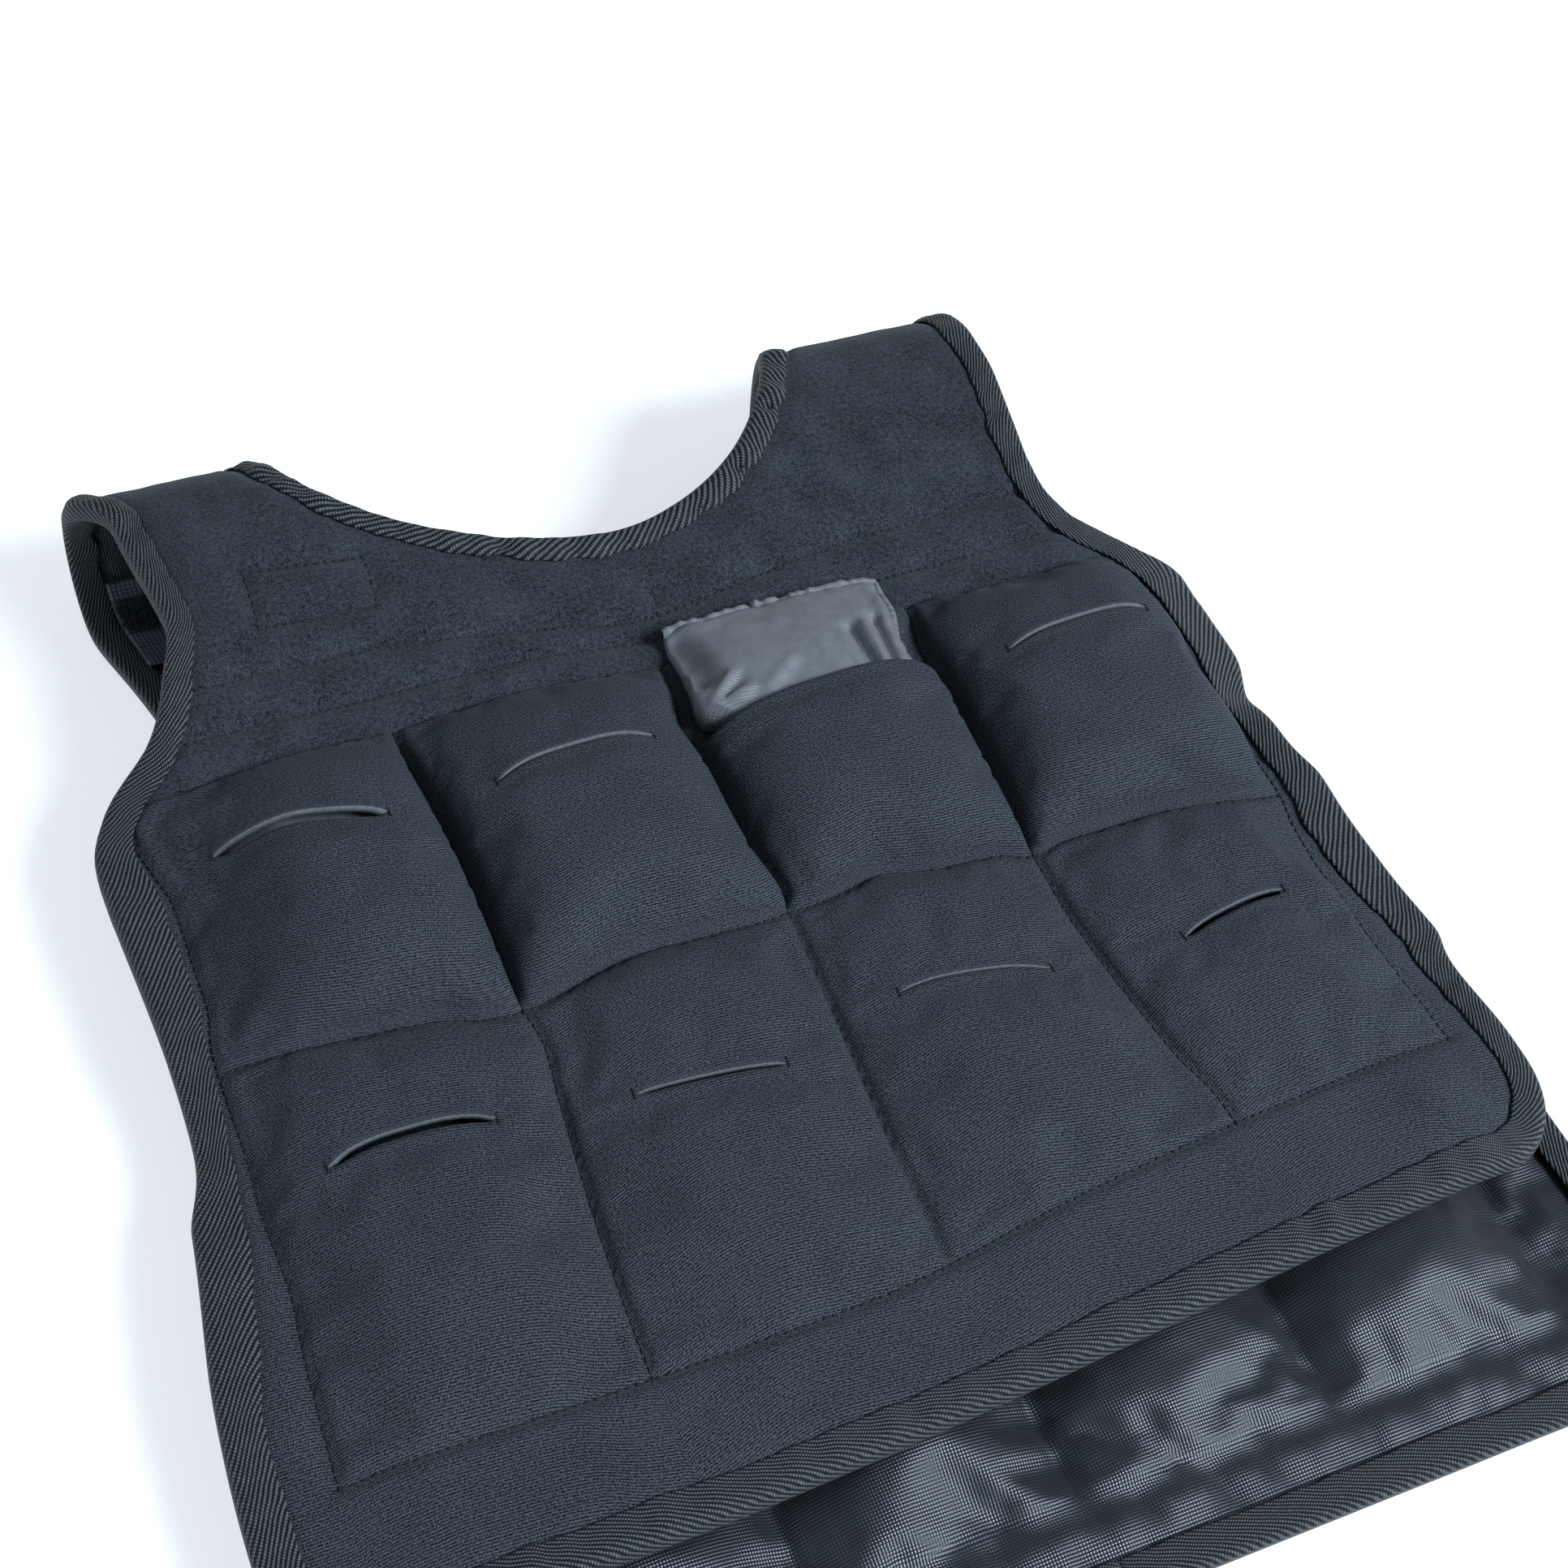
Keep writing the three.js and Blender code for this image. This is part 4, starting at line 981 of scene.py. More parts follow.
def puff(s, t):
    column = np.clip(((s + PUFF_HALF) // PUFF_CELL), 0, 3)
    u = (s + PUFF_HALF) / PUFF_CELL * 2 - 1 - 2 * column
    row = np.clip(np.searchsorted(CELLS, t) - 1, 0, 2)
    v = (t - CELLS[row]) / (CELLS[row + 1] - CELLS[row]) * 2 - 1
    edge = distance_to(OUTLINE, s, t)
    inside = (np.abs(s) < PUFF_HALF) & (t > CELLS[0]) & (t < CELLS[-1])
    rise = PUFF_RISE * pillow(u, 2.6, 0.7) * pillow(v, 2.6, 0.7)
    return np.where(inside, rise, 0) * smooth((edge - 11) / 12)


def back_lining_out(s, t):
    rumple = 1.0 + 2.2 * wrinkle(s, t, 38, 11.0) + 0.5 * wrinkle(s, t, 12, 12.0)
    edge = distance_to(OUTLINE, s, t)
    loose = smooth((edge - 9) / 8)
    shoulder = smooth((CELLS[0] - t) / 30)
    return -(0.5 + puff(s, t) + loose * np.maximum(0, rumple) * (1 - 0.6 * shoulder))


def front_lining_out(s, t):
    edge = np.minimum(distance_to(OUTLINE, s, t), distance_to(NECK, s, t))
    return -(0.4 + smooth((edge - 9) / 8) * np.maximum(0, 0.9 + 1.2 * wrinkle(s, t, 20, 21.0)))


low_corner = FRONT_HEM + HEM_CORNER * (1 - np.cos(np.linspace(0, math.pi / 2, 9)))
high_corner = BACK_HEM - HEM_CORNER * (1 - np.cos(np.linspace(math.pi / 2, 0, 9)))
front_rows = np.concatenate([low_corner[:-1], hem_rows(low_corner[-1], NECK_LOW[0], 5)[:-1], NECK_LOW[:-1],
                             [FOLD_TOP - 0.2]])
front_lining, *_ = panel("front_lining_cloth", front_rows, 48, front_lining_out, LINING)
back_rows = np.concatenate([[FOLD_TOP + 0.2], NECK_HIGH[1:-1],
                            hem_rows(NECK_HIGH[-1], high_corner[0], 3)[:-1], high_corner])
back_lining, lining_s, lining_t = panel("back_lining_cloth", back_rows, 66, back_lining_out, LINING)
lining_edge = distance_to(OUTLINE, lining_s, lining_t)
lining_held = 1 - smooth((np.minimum(lining_edge, distance_to(NECK, lining_s, lining_t)) - 9) / 6)
lining_held = np.where(lining_t < BACK_SEAM - 60, np.maximum(lining_held, 0.5), lining_held)
seam_beside = np.abs(((lining_s + PUFF_HALF) / PUFF_CELL + 0.5) % 1 - 0.5) * PUFF_CELL
seam_near = np.minimum(seam_beside, np.min(np.abs(lining_t[:, None] - CELLS), axis=1))
lining_held = np.maximum(lining_held, 0.9 * (1 - smooth(seam_near / 3)) * (lining_t > BACK_SEAM - 2))
settle(back_lining, lining_held, -0.5, 0.025, limit=4.0, bending=3.0)
for lining in (front_lining, back_lining):
    thicken(lining, 0.5, 1.0)
print("linings:", len(front_lining.data.polygons), "and", len(back_lining.data.polygons), "faces")

# %% [markdown]
# ## The back
#
# The back's outer side lies on the ground and is hardly seen, so it is a plain sheet of the same neoprene.

# %% Back cloth
back_cloth_rows = np.concatenate([hem_rows(BACK_SEAM + 0.2, high_corner[0], 6)[:-1], high_corner])
back_cloth, *_ = panel("back_cloth", back_cloth_rows, 36, lambda s, t: 3.0 + 0 * s, NEOPRENE)
back_cloth.data.materials.append(FOAM)
thicken(back_cloth, FOAM_WALL, -1.0, rim_slot=1)
print("back cloth:", len(back_cloth.data.polygons), "faces")

# %% [markdown]
# ## The edge tape
#
# A folded tape grips every edge. A curve with a bevel would roll over at the corners, so a profile is swept
# along the cut edge through the laying function, and it crumples most where the shoulder bends.

# %% Edge tape
TAPE_STEP = 2.2
LOWEST, HIGHEST = -2.95, 5.15  # the tape stays between these, so that it keeps off the floor and near the cloth
TAPE_SECTION = [  # the tape's profile from its outer to its inner edge: how far in, and how high
    (1.0, 0.55), (0.93, 1.15), (0.8, 1.6), (0.6, 1.9), (0.4, 2.05), (0.2, 2.0), (0.0, 1.6), (-0.12, 0.7),
    (-0.17, -0.8), (-0.17, -2.2), (-0.12, -2.9), (0.0, -3.2), (0.25, -3.3), (0.6, -3.2), (0.93, -3.0), (1.0, -2.6),
]


def resample(ring, step):
    closed = np.vstack([ring, ring[:1]])
    length = np.concatenate([[0], np.cumsum(np.linalg.norm(np.diff(closed, axis=0), axis=1))])
    at = np.linspace(0, length[-1], int(length[-1] / step) + 1)[:-1]
    return np.column_stack([np.interp(at, length, closed[:, k]) for k in (0, 1)]), at


def cloth_top(s, t, edge):
    on_yoke = (t > 0) & (t < BACK_SEAM)
    return np.where(on_yoke, YOKE_TOP - pressed(1.0, edge), SHELL_TOP - pressed(1.1, edge))


def tape(name, ring, turn, seed):
    """One closed tape round a ring of the pattern; turn is 1 where the cloth lies to the left of the ring."""
    points, at = resample(ring, TAPE_STEP)
    along = np.roll(points, -1, axis=0) - np.roll(points, 1, axis=0)
    along /= np.linalg.norm(along, axis=1, keepdims=True)
    into = turn * np.column_stack([-along[:, 1], along[:, 0]])
    crumple = np.where(np.abs(points[:, 1] - FOLD_TOP) < 130, 1.5, 0.6)
    noise = mathutils.noise.noise
    wave = 1.7 * np.array([noise((a / 8.0, seed, 0)) for a in at]) * crumple
    slow = np.array([noise((a / 30.0, seed, 5)) for a in at])
    reach = (8.9 if turn > 0 else 7.2) + 1.1 * slow + 0.7 * wave
    sections = []
    for k, (d, h) in enumerate(TAPE_SECTION):
        far = d * reach if d > 0 else np.full(len(points), d * 9)
        spot = points + into * far[:, None]
        if k < 7:
            ruffle = np.sin(min(1, 1 - d) * math.pi * 0.9) * 1.3 * wave
            n = cloth_top(points[:, 0], points[:, 1], np.maximum(0, far)) + h * 0.75 + ruffle
            n = np.minimum(n, HIGHEST)
        else:
            n = np.full(len(points), h * 0.9 if h < 0 else h + 1.4) + 0.3 * slow
        sections.append(place(spot[:, 0], spot[:, 1], np.maximum(n, LOWEST)))
    width = len(sections)
    grid = np.stack(sections, axis=1)
    girth = np.cumsum(np.linalg.norm(np.diff(grid[len(points) // 3], axis=0), axis=1))
    grid = np.vstack([grid, grid[:1]])
    round_it = np.repeat(np.append(at, at[-1] + TAPE_STEP)[:, None] * MM, width, axis=1)
    uv = np.stack([round_it, np.tile(np.concatenate([[0], girth]), (len(grid), 1))], axis=-1)
    faces = quads(len(grid), width)
    if turn < 0:
        faces = faces[:, ::-1]
    obj = make_object(name, grid.reshape(-1, 3), faces, uv=uv.reshape(-1, 2))
    obj.data.materials.append(TAPE)
    thicken(obj, 0.7, 1.0)
    print(name, len(faces), "faces,", round(len(points) * TAPE_STEP), "mm long")
    return obj, points, into, reach


outer_tape, *outer_path = tape("outer_tape", np.roll(OUTLINE, len(OUTLINE) // 2, axis=0), 1, 1.0)
neck_tape, *neck_path = tape("neck_tape", np.roll(NECK, len(NECK) // 2, axis=0), -1, 2.0)

# %% [markdown]
# ## A sewn bag
#
# A bag of heavy grains is two squares of satin sewn together. Blown up in the simulation, its seam draws in
# and puckers as a real one does, which is hard to model by hand. It is made once and used four times.

# %% Weight bags
def pillow_bag(name, width, length, count=60):
    """A sewn bag, flat, then blown up: its seam draws in and puckers."""
    k = np.linspace(-1, 1, count + 1)
    y, x = np.meshgrid(k, k, indexing="ij")
    round_corner = 1 - 0.04 * (x * y) ** 2
    base = np.column_stack([(x * round_corner * width / 2).ravel(), (y * round_corner * length / 2).ravel()])
    rise = (2.5 * pillow(x, 2, 0.5) * pillow(y, 2, 0.5)).ravel()
    top = np.column_stack([base, rise])
    rim = (np.abs(x) > 0.999).ravel() | (np.abs(y) > 0.999).ravel()
    low_index = np.arange(len(top))
    low_index[~rim] = len(top) + np.arange((~rim).sum())
    low = np.column_stack([base, -rise])[~rim]
    faces = quads(count + 1, count + 1)
    faces = np.vstack([faces, low_index[faces][:, ::-1]])
    obj = make_object(name, np.vstack([top, low]) * MM, faces,
                      uv=np.vstack([base, base[~rim] + 200]) * MM)
    obj.data.materials.append(SATIN)
    settle(obj, np.zeros(len(obj.data.vertices)), 5.0, 0.0, frames=24, limit=30, stiffness=12, bending=0.05)
    return obj


first_bag = pillow_bag("weight_bag_cloth_3", 96, 112)
raw_bag = points_of(first_bag.data) / MM
raw_size = np.abs(raw_bag).max(axis=0)
print("bag after settling:", (2 * raw_size).round(1), "mm")

# %% [markdown]
# ## Bags in their pockets
#
# Three bags lie hidden and only fill the room that their pocket leaves. The loose one stands half out, is
# gripped by the mouth, and has its folds drawn as strokes.

# %% Laying the bags into their pockets
BAG_FOLDS = [  # across and along of both ends, width, height
    (6, 8, 40, -6, 3.4, 1.6), (5, 2, 9, -22, 4.5, -6.0), (22, -8, 30, -24, 6.0, 1.2),
    (24, 2, 44, -4, 4.0, -0.8), (10, -37, 22, -33, 1.7, 2.0), (10, -36, 20, -28, 1.7, -1.8),
    (9, -35, 17, -25, 1.7, 1.8), (12, -39, 24, -37, 1.7, -1.6), (26, -36, 38, -26, 2.6, 1.5),
    (64, -18, 67, -38, 2.6, -4.0), (76, -14, 75, -38, 2.6, -4.6), (70, -18, 71, -38, 2.4, 2.0),
    (84, 2, 88, -26, 3.0, -3.0), (20, 4, 60, 4, 6.0, -0.8), (48, -6, 54, -32, 12.0, 1.8),
    (80, 4, 82, -10, 2.6, 1.4),
]


def lay_bag(obj, centre, half, low, high, thick, inside_only):
    """Lays the settled bag between two levels, under the pocket's cloth or half out of the mouth."""
    p = raw_bag / raw_size
    s = centre + p[:, 0] * half
    t = (low + high) / 2 + p[:, 1] * (high - low) / 2
    if inside_only:
        room = bulge(s, t, np.zeros(len(s), bool))
        out = 0.4 + (p[:, 2] + 1) / 2 * np.maximum(0.3, np.minimum(thick, room - 0.6))
    else:
        free = smooth((t + 43) / 9)  # the bag is narrower where the pocket holds it
        s = centre + 4 * (1 - free) + p[:, 0] * half * (0.8 + 0.2 * free)
        room = bulge(s, np.minimum(t, -42), np.zeros(len(s), bool))
        mid = 10.5 - 2.5 * smooth((t + 20) / 30)
        belly = 1 + 0.25 * np.exp(-(((t + 22) / 16) ** 2))
        bag = mid + np.sign(p[:, 2]) * np.abs(p[:, 2]) ** 0.34 * thick / 2 * belly
        cover = smooth((-t - 38 - 3 * (s < 20)) / 5)
        floor_n = np.where(t > -41, 4.2, 0.4)
        bag += strokes(BAG_FOLDS, s, t) * (p[:, 2] > -0.3)
        ceiling = np.where(cover > 0, room * cover + 30 * (1 - cover), 99)
        out = np.maximum(np.minimum(bag, ceiling), floor_n)
    obj.data.vertices.foreach_set("co", place(s, t, out).ravel())
    obj.data.update()
    return s, t, out


bags = []
for number in (1, 2, 4):
    twin = first_bag.copy()
    twin.data = first_bag.data.copy()
    twin.name = f"weight_bag_cloth_{number}"
    scene.collection.objects.link(twin)
    lay_bag(twin, -GRID + POCKET * (number - 0.5), 36, -104, -12, 18, True)
    bags.append(twin)
bag_s, bag_t, bag_n = lay_bag(first_bag, 44, 41, -96, 9.0, 19, False)
bags.append(first_bag)
print("bags:", ", ".join(bag.name for bag in bags))

# %% [markdown]
# ## The bag's seam
#
# Along the bag's seam the two cloths stand up as a crimped strip. The strip follows the bag's own edge
# points, so it can't drift away from them.

# %% Seam allowance of the loose bag
def bag_top_strip(side=61, samples=280, down=22):
    """Runs along the bag's top and then down its right side; side is the bag's number of points a side."""
    top_row = np.arange(side * (side - 1), side * side)
    path = np.concatenate([top_row, np.arange(side * side - 1 - side, side * (side - down), -side)])
    along = np.linspace(0, 1, samples)
    at = along * (len(path) - 1)
    s1, t1, n1 = (np.interp(at, np.arange(len(path)), value[path]) for value in (bag_s, bag_t, bag_n))
    turn = smooth((at - side + 4) / 8)
    rows_out = []
    noise = mathutils.noise.noise
    ruffle = np.array([math.sin(a * 120 + 14 * noise((a * 7, 2.0, 1))) * (0.5 + 0.6 * noise((a * 14, 5.0, 2)))
                       for a in along])
    for k, reach in enumerate(np.linspace(-1.0, 2.7, 7)):
        grow = k / 6
        height = n1 + 0.4 + 0.8 * ruffle * math.sin(grow * math.pi) + 1.7 * math.sin(grow * math.pi)
        rows_out.append(place(s1 + reach * turn, t1 + reach * (1 - turn) + 0.35 * ruffle * grow, height))
    points = np.stack(rows_out).reshape(-1, 3)
    uv = np.stack(np.meshgrid(along * 0.1, np.linspace(0, 0.009, 7)), axis=-1).reshape(-1, 2)
    obj = make_object("bag_top_strip", points, quads(7, samples), uv=uv)
    obj.data.materials.append(SATIN)
    thicken(obj, 0.5, 0.0)
    return obj


strip = bag_top_strip()
print(strip.name, len(strip.data.polygons), "faces")

# %% [markdown]
# ## Inside the shoulders
#
# A piece of webbing with a patch of hooks is sewn inside each strap. Both are small sheets laid on the
# inner side of the pattern.

# %% Shoulder webbing and hook patches
STRIP_WIDTH, STRIP_INSET = 36, 9.2


def inside_strip(name, side, middle, length, low, wall, material):
    """A strip low millimetres inside a shoulder, on the left where side is -1."""
    outer_edge = STRAP_HALF + STRAP_FLARE - STRIP_INSET
    ends = sorted((side * outer_edge, side * (outer_edge - STRIP_WIDTH)))
    t, s = np.meshgrid(np.linspace(middle - length / 2, middle + length / 2, 30), np.linspace(*ends, 25),
                       indexing="ij")
    s, t = s.ravel(), t.ravel()
    n = -(low + wall + 1.0) - 0.25 * wrinkle(s, t, 9, 31.0)
    obj = make_object(name, place(s, t, n), quads(30, 25), uv=np.column_stack([s, t]) * MM)
    obj.data.materials.append(material)
    thicken(obj, wall, 1.0)
    print(name, len(obj.data.polygons), "faces")
    return obj


SIDES = ((-1, "left"), (1, "right"))
webs = [inside_strip(f"webbing_strip_{word}", side, FOLD_END, 42, 1.7, 1.2, WEBBING) for side, word in SIDES]
patches = [inside_strip(f"hook_strip_{word}", side, FOLD_END - 4, 17, 3.2, 0.8, HOOKS) for side, word in SIDES]

# %% [markdown]
# ## Trees that repeat a shape
#
# Stitches and hooks repeat one small shape thousands of times. Geometry Nodes do that from named sizes.
# Both trees end by making real faces and setting the material.

# %% A tree of Geometry Nodes
def new_tree(name, takes, gives):
    """An empty tree with named inputs, None being geometry; also returns the sockets that it is given."""
    tree = bpy.data.node_groups.new(name, "GeometryNodeTree")
    for title, default in takes.items():
        kind = "NodeSocketGeometry" if default is None else "NodeSocketFloat"
        socket = tree.interface.new_socket(name=title, in_out="INPUT", socket_type=kind)
        if default is not None:
            socket.default_value = default
    tree.interface.new_socket(name=gives, in_out="OUTPUT", socket_type="NodeSocketGeometry")
    return tree, tree.nodes.new("NodeGroupInput").outputs


def finish_tree(tree, instances, material):
    real = add(tree, "GeometryNodeRealizeInstances", _0=instances.outputs[0])
    paint = add(tree, "GeometryNodeSetMaterial", Geometry=real.outputs[0], Material=material)
    add(tree, "NodeGroupOutput", _0=paint.outputs[0])
    print(tree.name, "tree:", len(tree.nodes), "nodes")
    return tree

# %% [markdown]
# ## Stitches
#
# A stitch is a short, thick thread that lies along its seam. A path of edges becomes a curve, is divided at
# the stitch length, and gets a stretched ball at each point. They are drawn thicker than real thread, so
# that they show.

# %% Stitches
def stitch_tree():
    takes = {"Path": None, "Pitch": 0.003, "Length": 0.0022, "Thickness": 0.0005}
    tree, given = new_tree("Stitches", takes, "Stitches")
    curve = add(tree, "GeometryNodeMeshToCurve", _0=given["Path"])
    even = add(tree, "GeometryNodeResampleCurve", {"mode": "LENGTH"}, Curve=curve.outputs[0],
               Length=given["Pitch"])
    size = add(tree, "ShaderNodeCombineXYZ", _0=given["Length"], _1=given["Thickness"], _2=given["Thickness"])
    ball = add(tree, "GeometryNodeMeshUVSphere", Segments=6, Rings=4, Radius=0.5)
    shape = add(tree, "GeometryNodeTransform", Geometry=ball.outputs["Mesh"], Scale=size.outputs[0])
    tangent = add(tree, "GeometryNodeInputTangent")
    turn = add(tree, "FunctionNodeAlignRotationToVector", {"axis": "X"}, Vector=tangent.outputs[0])
    put = add(tree, "GeometryNodeInstanceOnPoints", Points=even.outputs[0], Instance=shape.outputs[0],
              Rotation=turn.outputs[0])
    return finish_tree(tree, put, THREAD)


STITCH_TREE = stitch_tree()
STITCH_INPUTS = {item.name: item.identifier for item in STITCH_TREE.interface.items_tree if item.in_out == "INPUT"}


def stitches(name, paths, pitch=3.1, length=2.7, thickness=0.9):
    """Stitches along paths of points in metres; the sizes are in millimetres."""
    mesh = bpy.data.meshes.new(name)
    edges, start = [], 0
    for path in paths:
        edges += [(start + i, start + i + 1) for i in range(len(path) - 1)]
        start += len(path)
    mesh.from_pydata([tuple(p) for p in np.vstack(paths)], edges, [])
    obj = link_object(name, mesh)
    mod = obj.modifiers.new("Stitches", "NODES")
    mod.node_group = STITCH_TREE
    for key, value in (("Pitch", pitch), ("Length", length), ("Thickness", thickness)):
        mod[STITCH_INPUTS[key]] = value * MM
    bake_modifiers(obj)
    obj.data.polygons.foreach_set("use_smooth", [True] * len(obj.data.polygons))
    print(name, len(obj.data.polygons), "faces")
    return obj

# %% [markdown]
# ## Where the stitches run
#
# The paths lie just above the grooves of the seams and of the yoke's lines, and stop where the tape begins.

# %% Stitched seams
SEAM_OUT, PATH_STEP, EDGE_CLEAR = 1.9, 2.0, 10


def path_between(a, b, out):
    """Points from one place of the pattern to another, without those that the tape would hide."""
    count = max(2, int(math.hypot(b[0] - a[0], b[1] - a[1]) / PATH_STEP))
    s, t = np.linspace(a[0], b[0], count), np.linspace(a[1], b[1], count)
    neck = neck_half(t)
    inside = (np.abs(s) < half_width(t) - EDGE_CLEAR) & (np.abs(s) > neck + EDGE_CLEAR * (neck > 0))
    s, t = s[inside], t[inside]
    return place(s, t, out(s, t) if callable(out) else out)


seam_paths = [path_between((-GRID, MIDDLE_SEAM), (GRID, MIDDLE_SEAM), SEAM_OUT),
              path_between((-GRID - 6, LOWER_SEAM), (GRID + 6, LOWER_SEAM), SEAM_OUT)]
for k in range(5):
    s = -GRID + POCKET * k
    seam_paths.append(path_between((s, LOWER_SEAM), (s, MIDDLE_SEAM), SEAM_OUT))
    seam_paths.append(path_between((s, MIDDLE_SEAM), (s, 0), SEAM_OUT))
seam_stitches = stitches("seam_stitches", seam_paths)
yoke_paths = [path_between(a, b, lambda s, t: yoke_out(s, t) + 0.2)
              for line in YOKE_LINES for a, b in zip(line, line[1:])]
yoke_stitches = stitches("yoke_stitches", yoke_paths, thickness=1.2)

# %% [markdown]
# ## Tacks and tape stitches
#
# A tack at each end keeps a slit from tearing, and one line of stitches holds the tape. Both reuse the
# stitch tree with other sizes.

# %% Tacks at the mouths and stitches of the tape
OPEN_MOUTH = 80  # a mouth wider than this is the open one, and its ends are under the bag
tack_paths = []
for row, col, _, mouth, *_ in POCKETS:
    for end in (-1, 1) if mouth < OPEN_MOUTH else ():
        s = np.full(4, -GRID + POCKET * (col + 0.5) + end * (mouth / 2 + 0.3))
        spots = shell_points(s, MOUTH_ROWS[row] + np.linspace(-1.3, 1.3, 4), np.full(4, True))
        tack_paths.append(spots + (0, 0, 0.3 * MM))
tacks = stitches("mouth_tacks", tack_paths, pitch=1.0, length=1.7, thickness=0.7)


def tape_path(points, into, reach, inset=1.3):
    spot = points + into * (reach - inset)[:, None]
    n = cloth_top(points[:, 0], points[:, 1], reach - inset) + 1.0
    loop = place(spot[:, 0], spot[:, 1], n)
    return np.vstack([loop, loop[:1]])


tape_stitches = stitches("tape_stitches", [tape_path(*outer_path), tape_path(*neck_path)])

# %% [markdown]
# ## Hooks
#
# A hook patch is a field of stiff little bristles. Scattered points with a fixed seed place them the same
# way each time.

# %% Hooks
def hook_tree():
    tree, given = new_tree("Hooks", {"Patch": None, "Density": 7e5, "Width": 0.0005, "Height": 0.0018}, "Hooks")
    scatter = add(tree, "GeometryNodeDistributePointsOnFaces", Mesh=given["Patch"], Density=given["Density"],
                  Seed=4)
    size = add(tree, "ShaderNodeCombineXYZ", _0=given["Width"], _1=given["Width"], _2=given["Height"])
    ball = add(tree, "GeometryNodeMeshUVSphere", Segments=5, Rings=4, Radius=0.5)
    shape = add(tree, "GeometryNodeTransform", Geometry=ball.outputs["Mesh"], Scale=size.outputs[0])
    put = add(tree, "GeometryNodeInstanceOnPoints", Points=scatter.outputs["Points"], Instance=shape.outputs[0],
              Rotation=scatter.outputs["Rotation"])
    return finish_tree(tree, put, HOOKS)


HOOK_TREE = hook_tree()
hooks = []
for patch in patches:
    obj = link_object(patch.name.replace("strip", "field"), patch.data.copy())
    mod = obj.modifiers.new("Hooks", "NODES")
    mod.node_group = HOOK_TREE
    bake_modifiers(obj)
    hooks.append(obj)
print("hooks:", [len(obj.data.polygons) for obj in hooks], "faces")

# %% [markdown]
# ## What each piece is
#
# The vest has no joint, so all pieces ride on one body. Each is listed with the solid that it stands for, which is
# hidden, and with a finish name that nothing reads.

pieces = {
    front: ("front_shell", "knit_neoprene"), yoke: ("yoke", "loop_fabric"),
    back_cloth: ("back_shell", "knit_neoprene"),
    front_lining: ("front_lining", "lining_nylon"), back_lining: ("back_lining", "lining_nylon"),
    outer_tape: ("outer_binding", "binding_tape"), neck_tape: ("neck_binding", "binding_tape"),
    webs[0]: ("shoulder_webbing_left", "webbing"), webs[1]: ("shoulder_webbing_right", "webbing"),
    patches[0]: ("hook_patch_left", "hook_tape"), patches[1]: ("hook_patch_right", "hook_tape"),
}
for bag, number in zip(bags, (1, 2, 4, 3)):
    pieces[bag] = (f"weight_bag_{number}", "satin_nylon")
for obj, (node, slot) in pieces.items():
    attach(obj, "root")
    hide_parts(node)
trim = [(strip, "satin_nylon"), (seam_stitches, "knit_neoprene"), (tacks, "knit_neoprene"),
        (yoke_stitches, "loop_fabric"), (tape_stitches, "binding_tape")]
for obj, slot in trim + [(field, "hook_tape") for field in hooks]:
    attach(obj, "root")
print("pieces:", len(pieces) + len(trim) + len(hooks))

# %% [markdown]
# ## Flat sizes
#
# Cloth is cut flat before it is sewn. The flat width and length come from the pattern or were measured
# along the cloth, apart from the back lining and the small strips, which are estimates. The area is half of
# the finished mesh's surface, because both of its faces are counted there.

# %% Flat sizes of the sheets
def one_side(obj):
    """Area of one face of a thickened sheet, in square metres."""
    mesh = obj.evaluated_get(bpy.context.evaluated_depsgraph_get()).data
    return sum(face.area for face in mesh.polygons) / 2


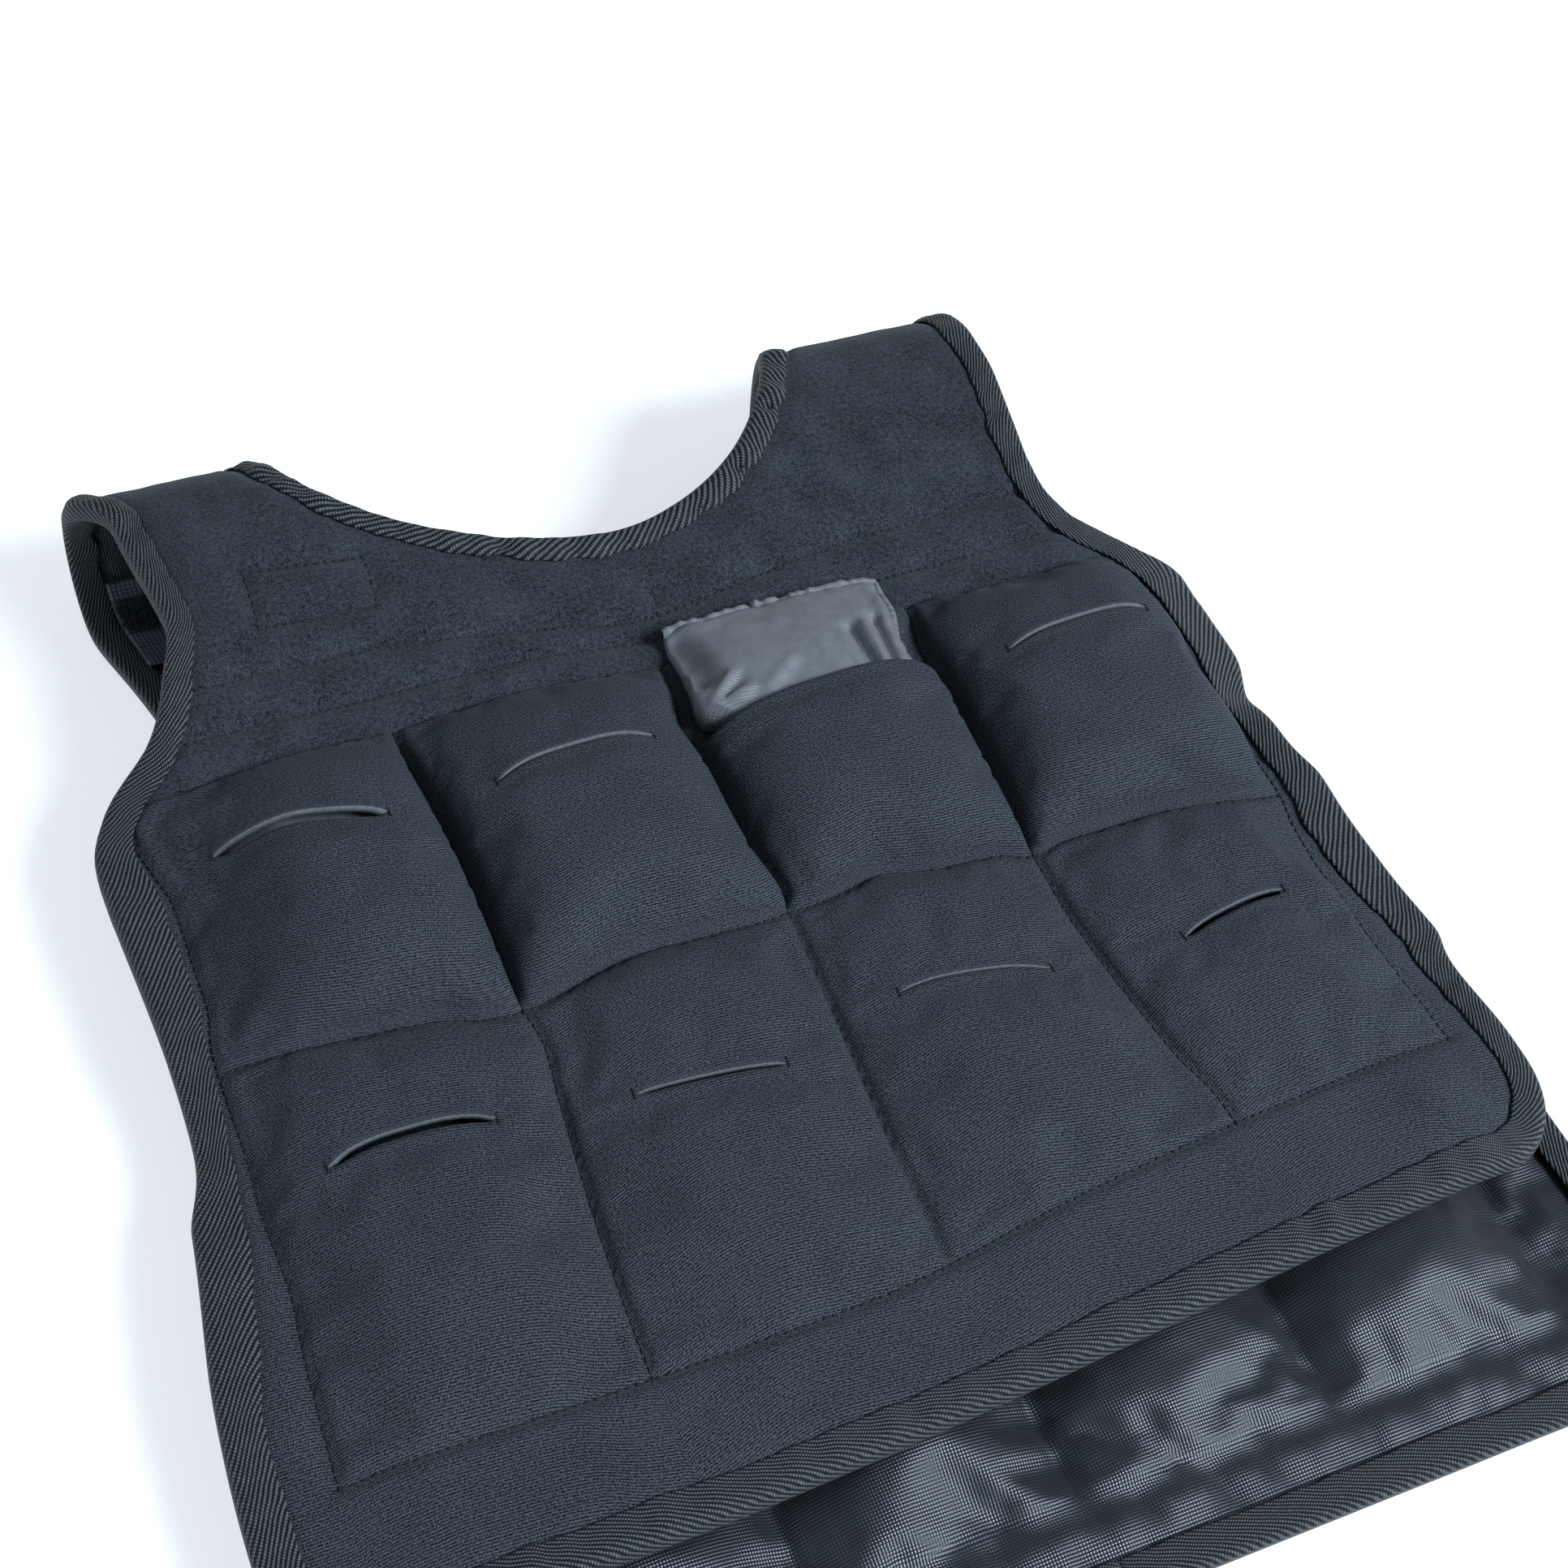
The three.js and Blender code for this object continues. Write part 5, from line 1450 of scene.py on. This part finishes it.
SHEETS = [  # piece, flat width and length in metres, how it lies, what it lies on, pieces on it
    (front, 0.509, 0.350, "laid", [front_lining] + bags, [seam_stitches, tacks]),
    (yoke, 0.403, 0.293, "folded", [front_lining, back_lining], [yoke_stitches]),
    (back_cloth, 0.419, 0.350, "laid", ["floor"], []),
    (front_lining, 0.419, 0.436, "laid", [back_lining], []),
    (back_lining, 0.44, 0.52, "laid", [back_cloth], []),
    (outer_tape, 0.0292, 2.704, "folded", [front, yoke, back_cloth], [tape_stitches]),
    (neck_tape, 0.0263, 0.594, "folded", [yoke], []),
    (webs[0], 0.037, 0.044, "laid", [back_lining], []), (webs[1], 0.037, 0.044, "laid", [back_lining], []),
    (patches[0], 0.037, 0.018, "laid", [webs[0]], [hooks[0]]),
    (patches[1], 0.037, 0.018, "laid", [webs[1]], [hooks[1]]),
]
print("sheets:", len(SHEETS))

# %% [markdown]
# ## The floor
#
# The vest lies on white paper that the photograph shows nearly burnt out. A little glow of its own keeps
# the floor white without a stronger lamp, which would also brighten the black cloth.

# %% Floor
bpy.ops.mesh.primitive_plane_add(size=12, location=(0, 0, -0.0003))
floor = bpy.context.object
floor.name = "floor"
white = new_material("White paper floor")
paper = add(white, "ShaderNodeBsdfPrincipled", Base_Color=linear("#c4c8cc"), Roughness=0.9,
            Emission_Color=linear("#f4f9ff"), Emission_Strength=0.66)
add(white, "ShaderNodeOutputMaterial", Surface=paper.outputs[0])
floor.data.materials.append(white)
for obj, width, length, held_as, under, extra in SHEETS:
    area = min(one_side(obj), width * length)
    print(f"{obj.name}: {width} x {length} m, area {area:.4f} of {width * length:.4f} square metres")

# %% [markdown]
# ## The light
#
# One large lamp from the right gives soft shadows between the pockets, and a weak one lights the inside of
# the left armhole.

# %% Light
world = bpy.data.worlds.new("Soft room")
scene.world = world
world.use_nodes = True
world.node_tree.nodes["Background"].inputs["Color"].default_value = (0.9, 0.96, 1.0, 1)
world.node_tree.nodes["Background"].inputs["Strength"].default_value = 0.3


def area_light(name, position, target, size, power, colour):
    data = bpy.data.lights.new(name, "AREA")
    data.energy, data.size, data.color = power, size, colour
    obj = link_object(name, data)
    obj.location = position
    direction = mathutils.Vector(target) - mathutils.Vector(position)
    obj.rotation_mode = "QUATERNION"
    obj.rotation_quaternion = direction.to_track_quat("-Z", "Y")
    print(name, "light:", power, "W")


area_light("Key", (1.75, -1.75, 2.15), (0, 0, 0), 1.2, 170.0, (0.95, 0.98, 1.0))
area_light("Fill", (-1.1, -0.2, 0.35), (-0.15, 0.1, 0), 0.5, 3.2, (0.94, 0.98, 1.0))
scene.view_settings.view_transform = "Standard"
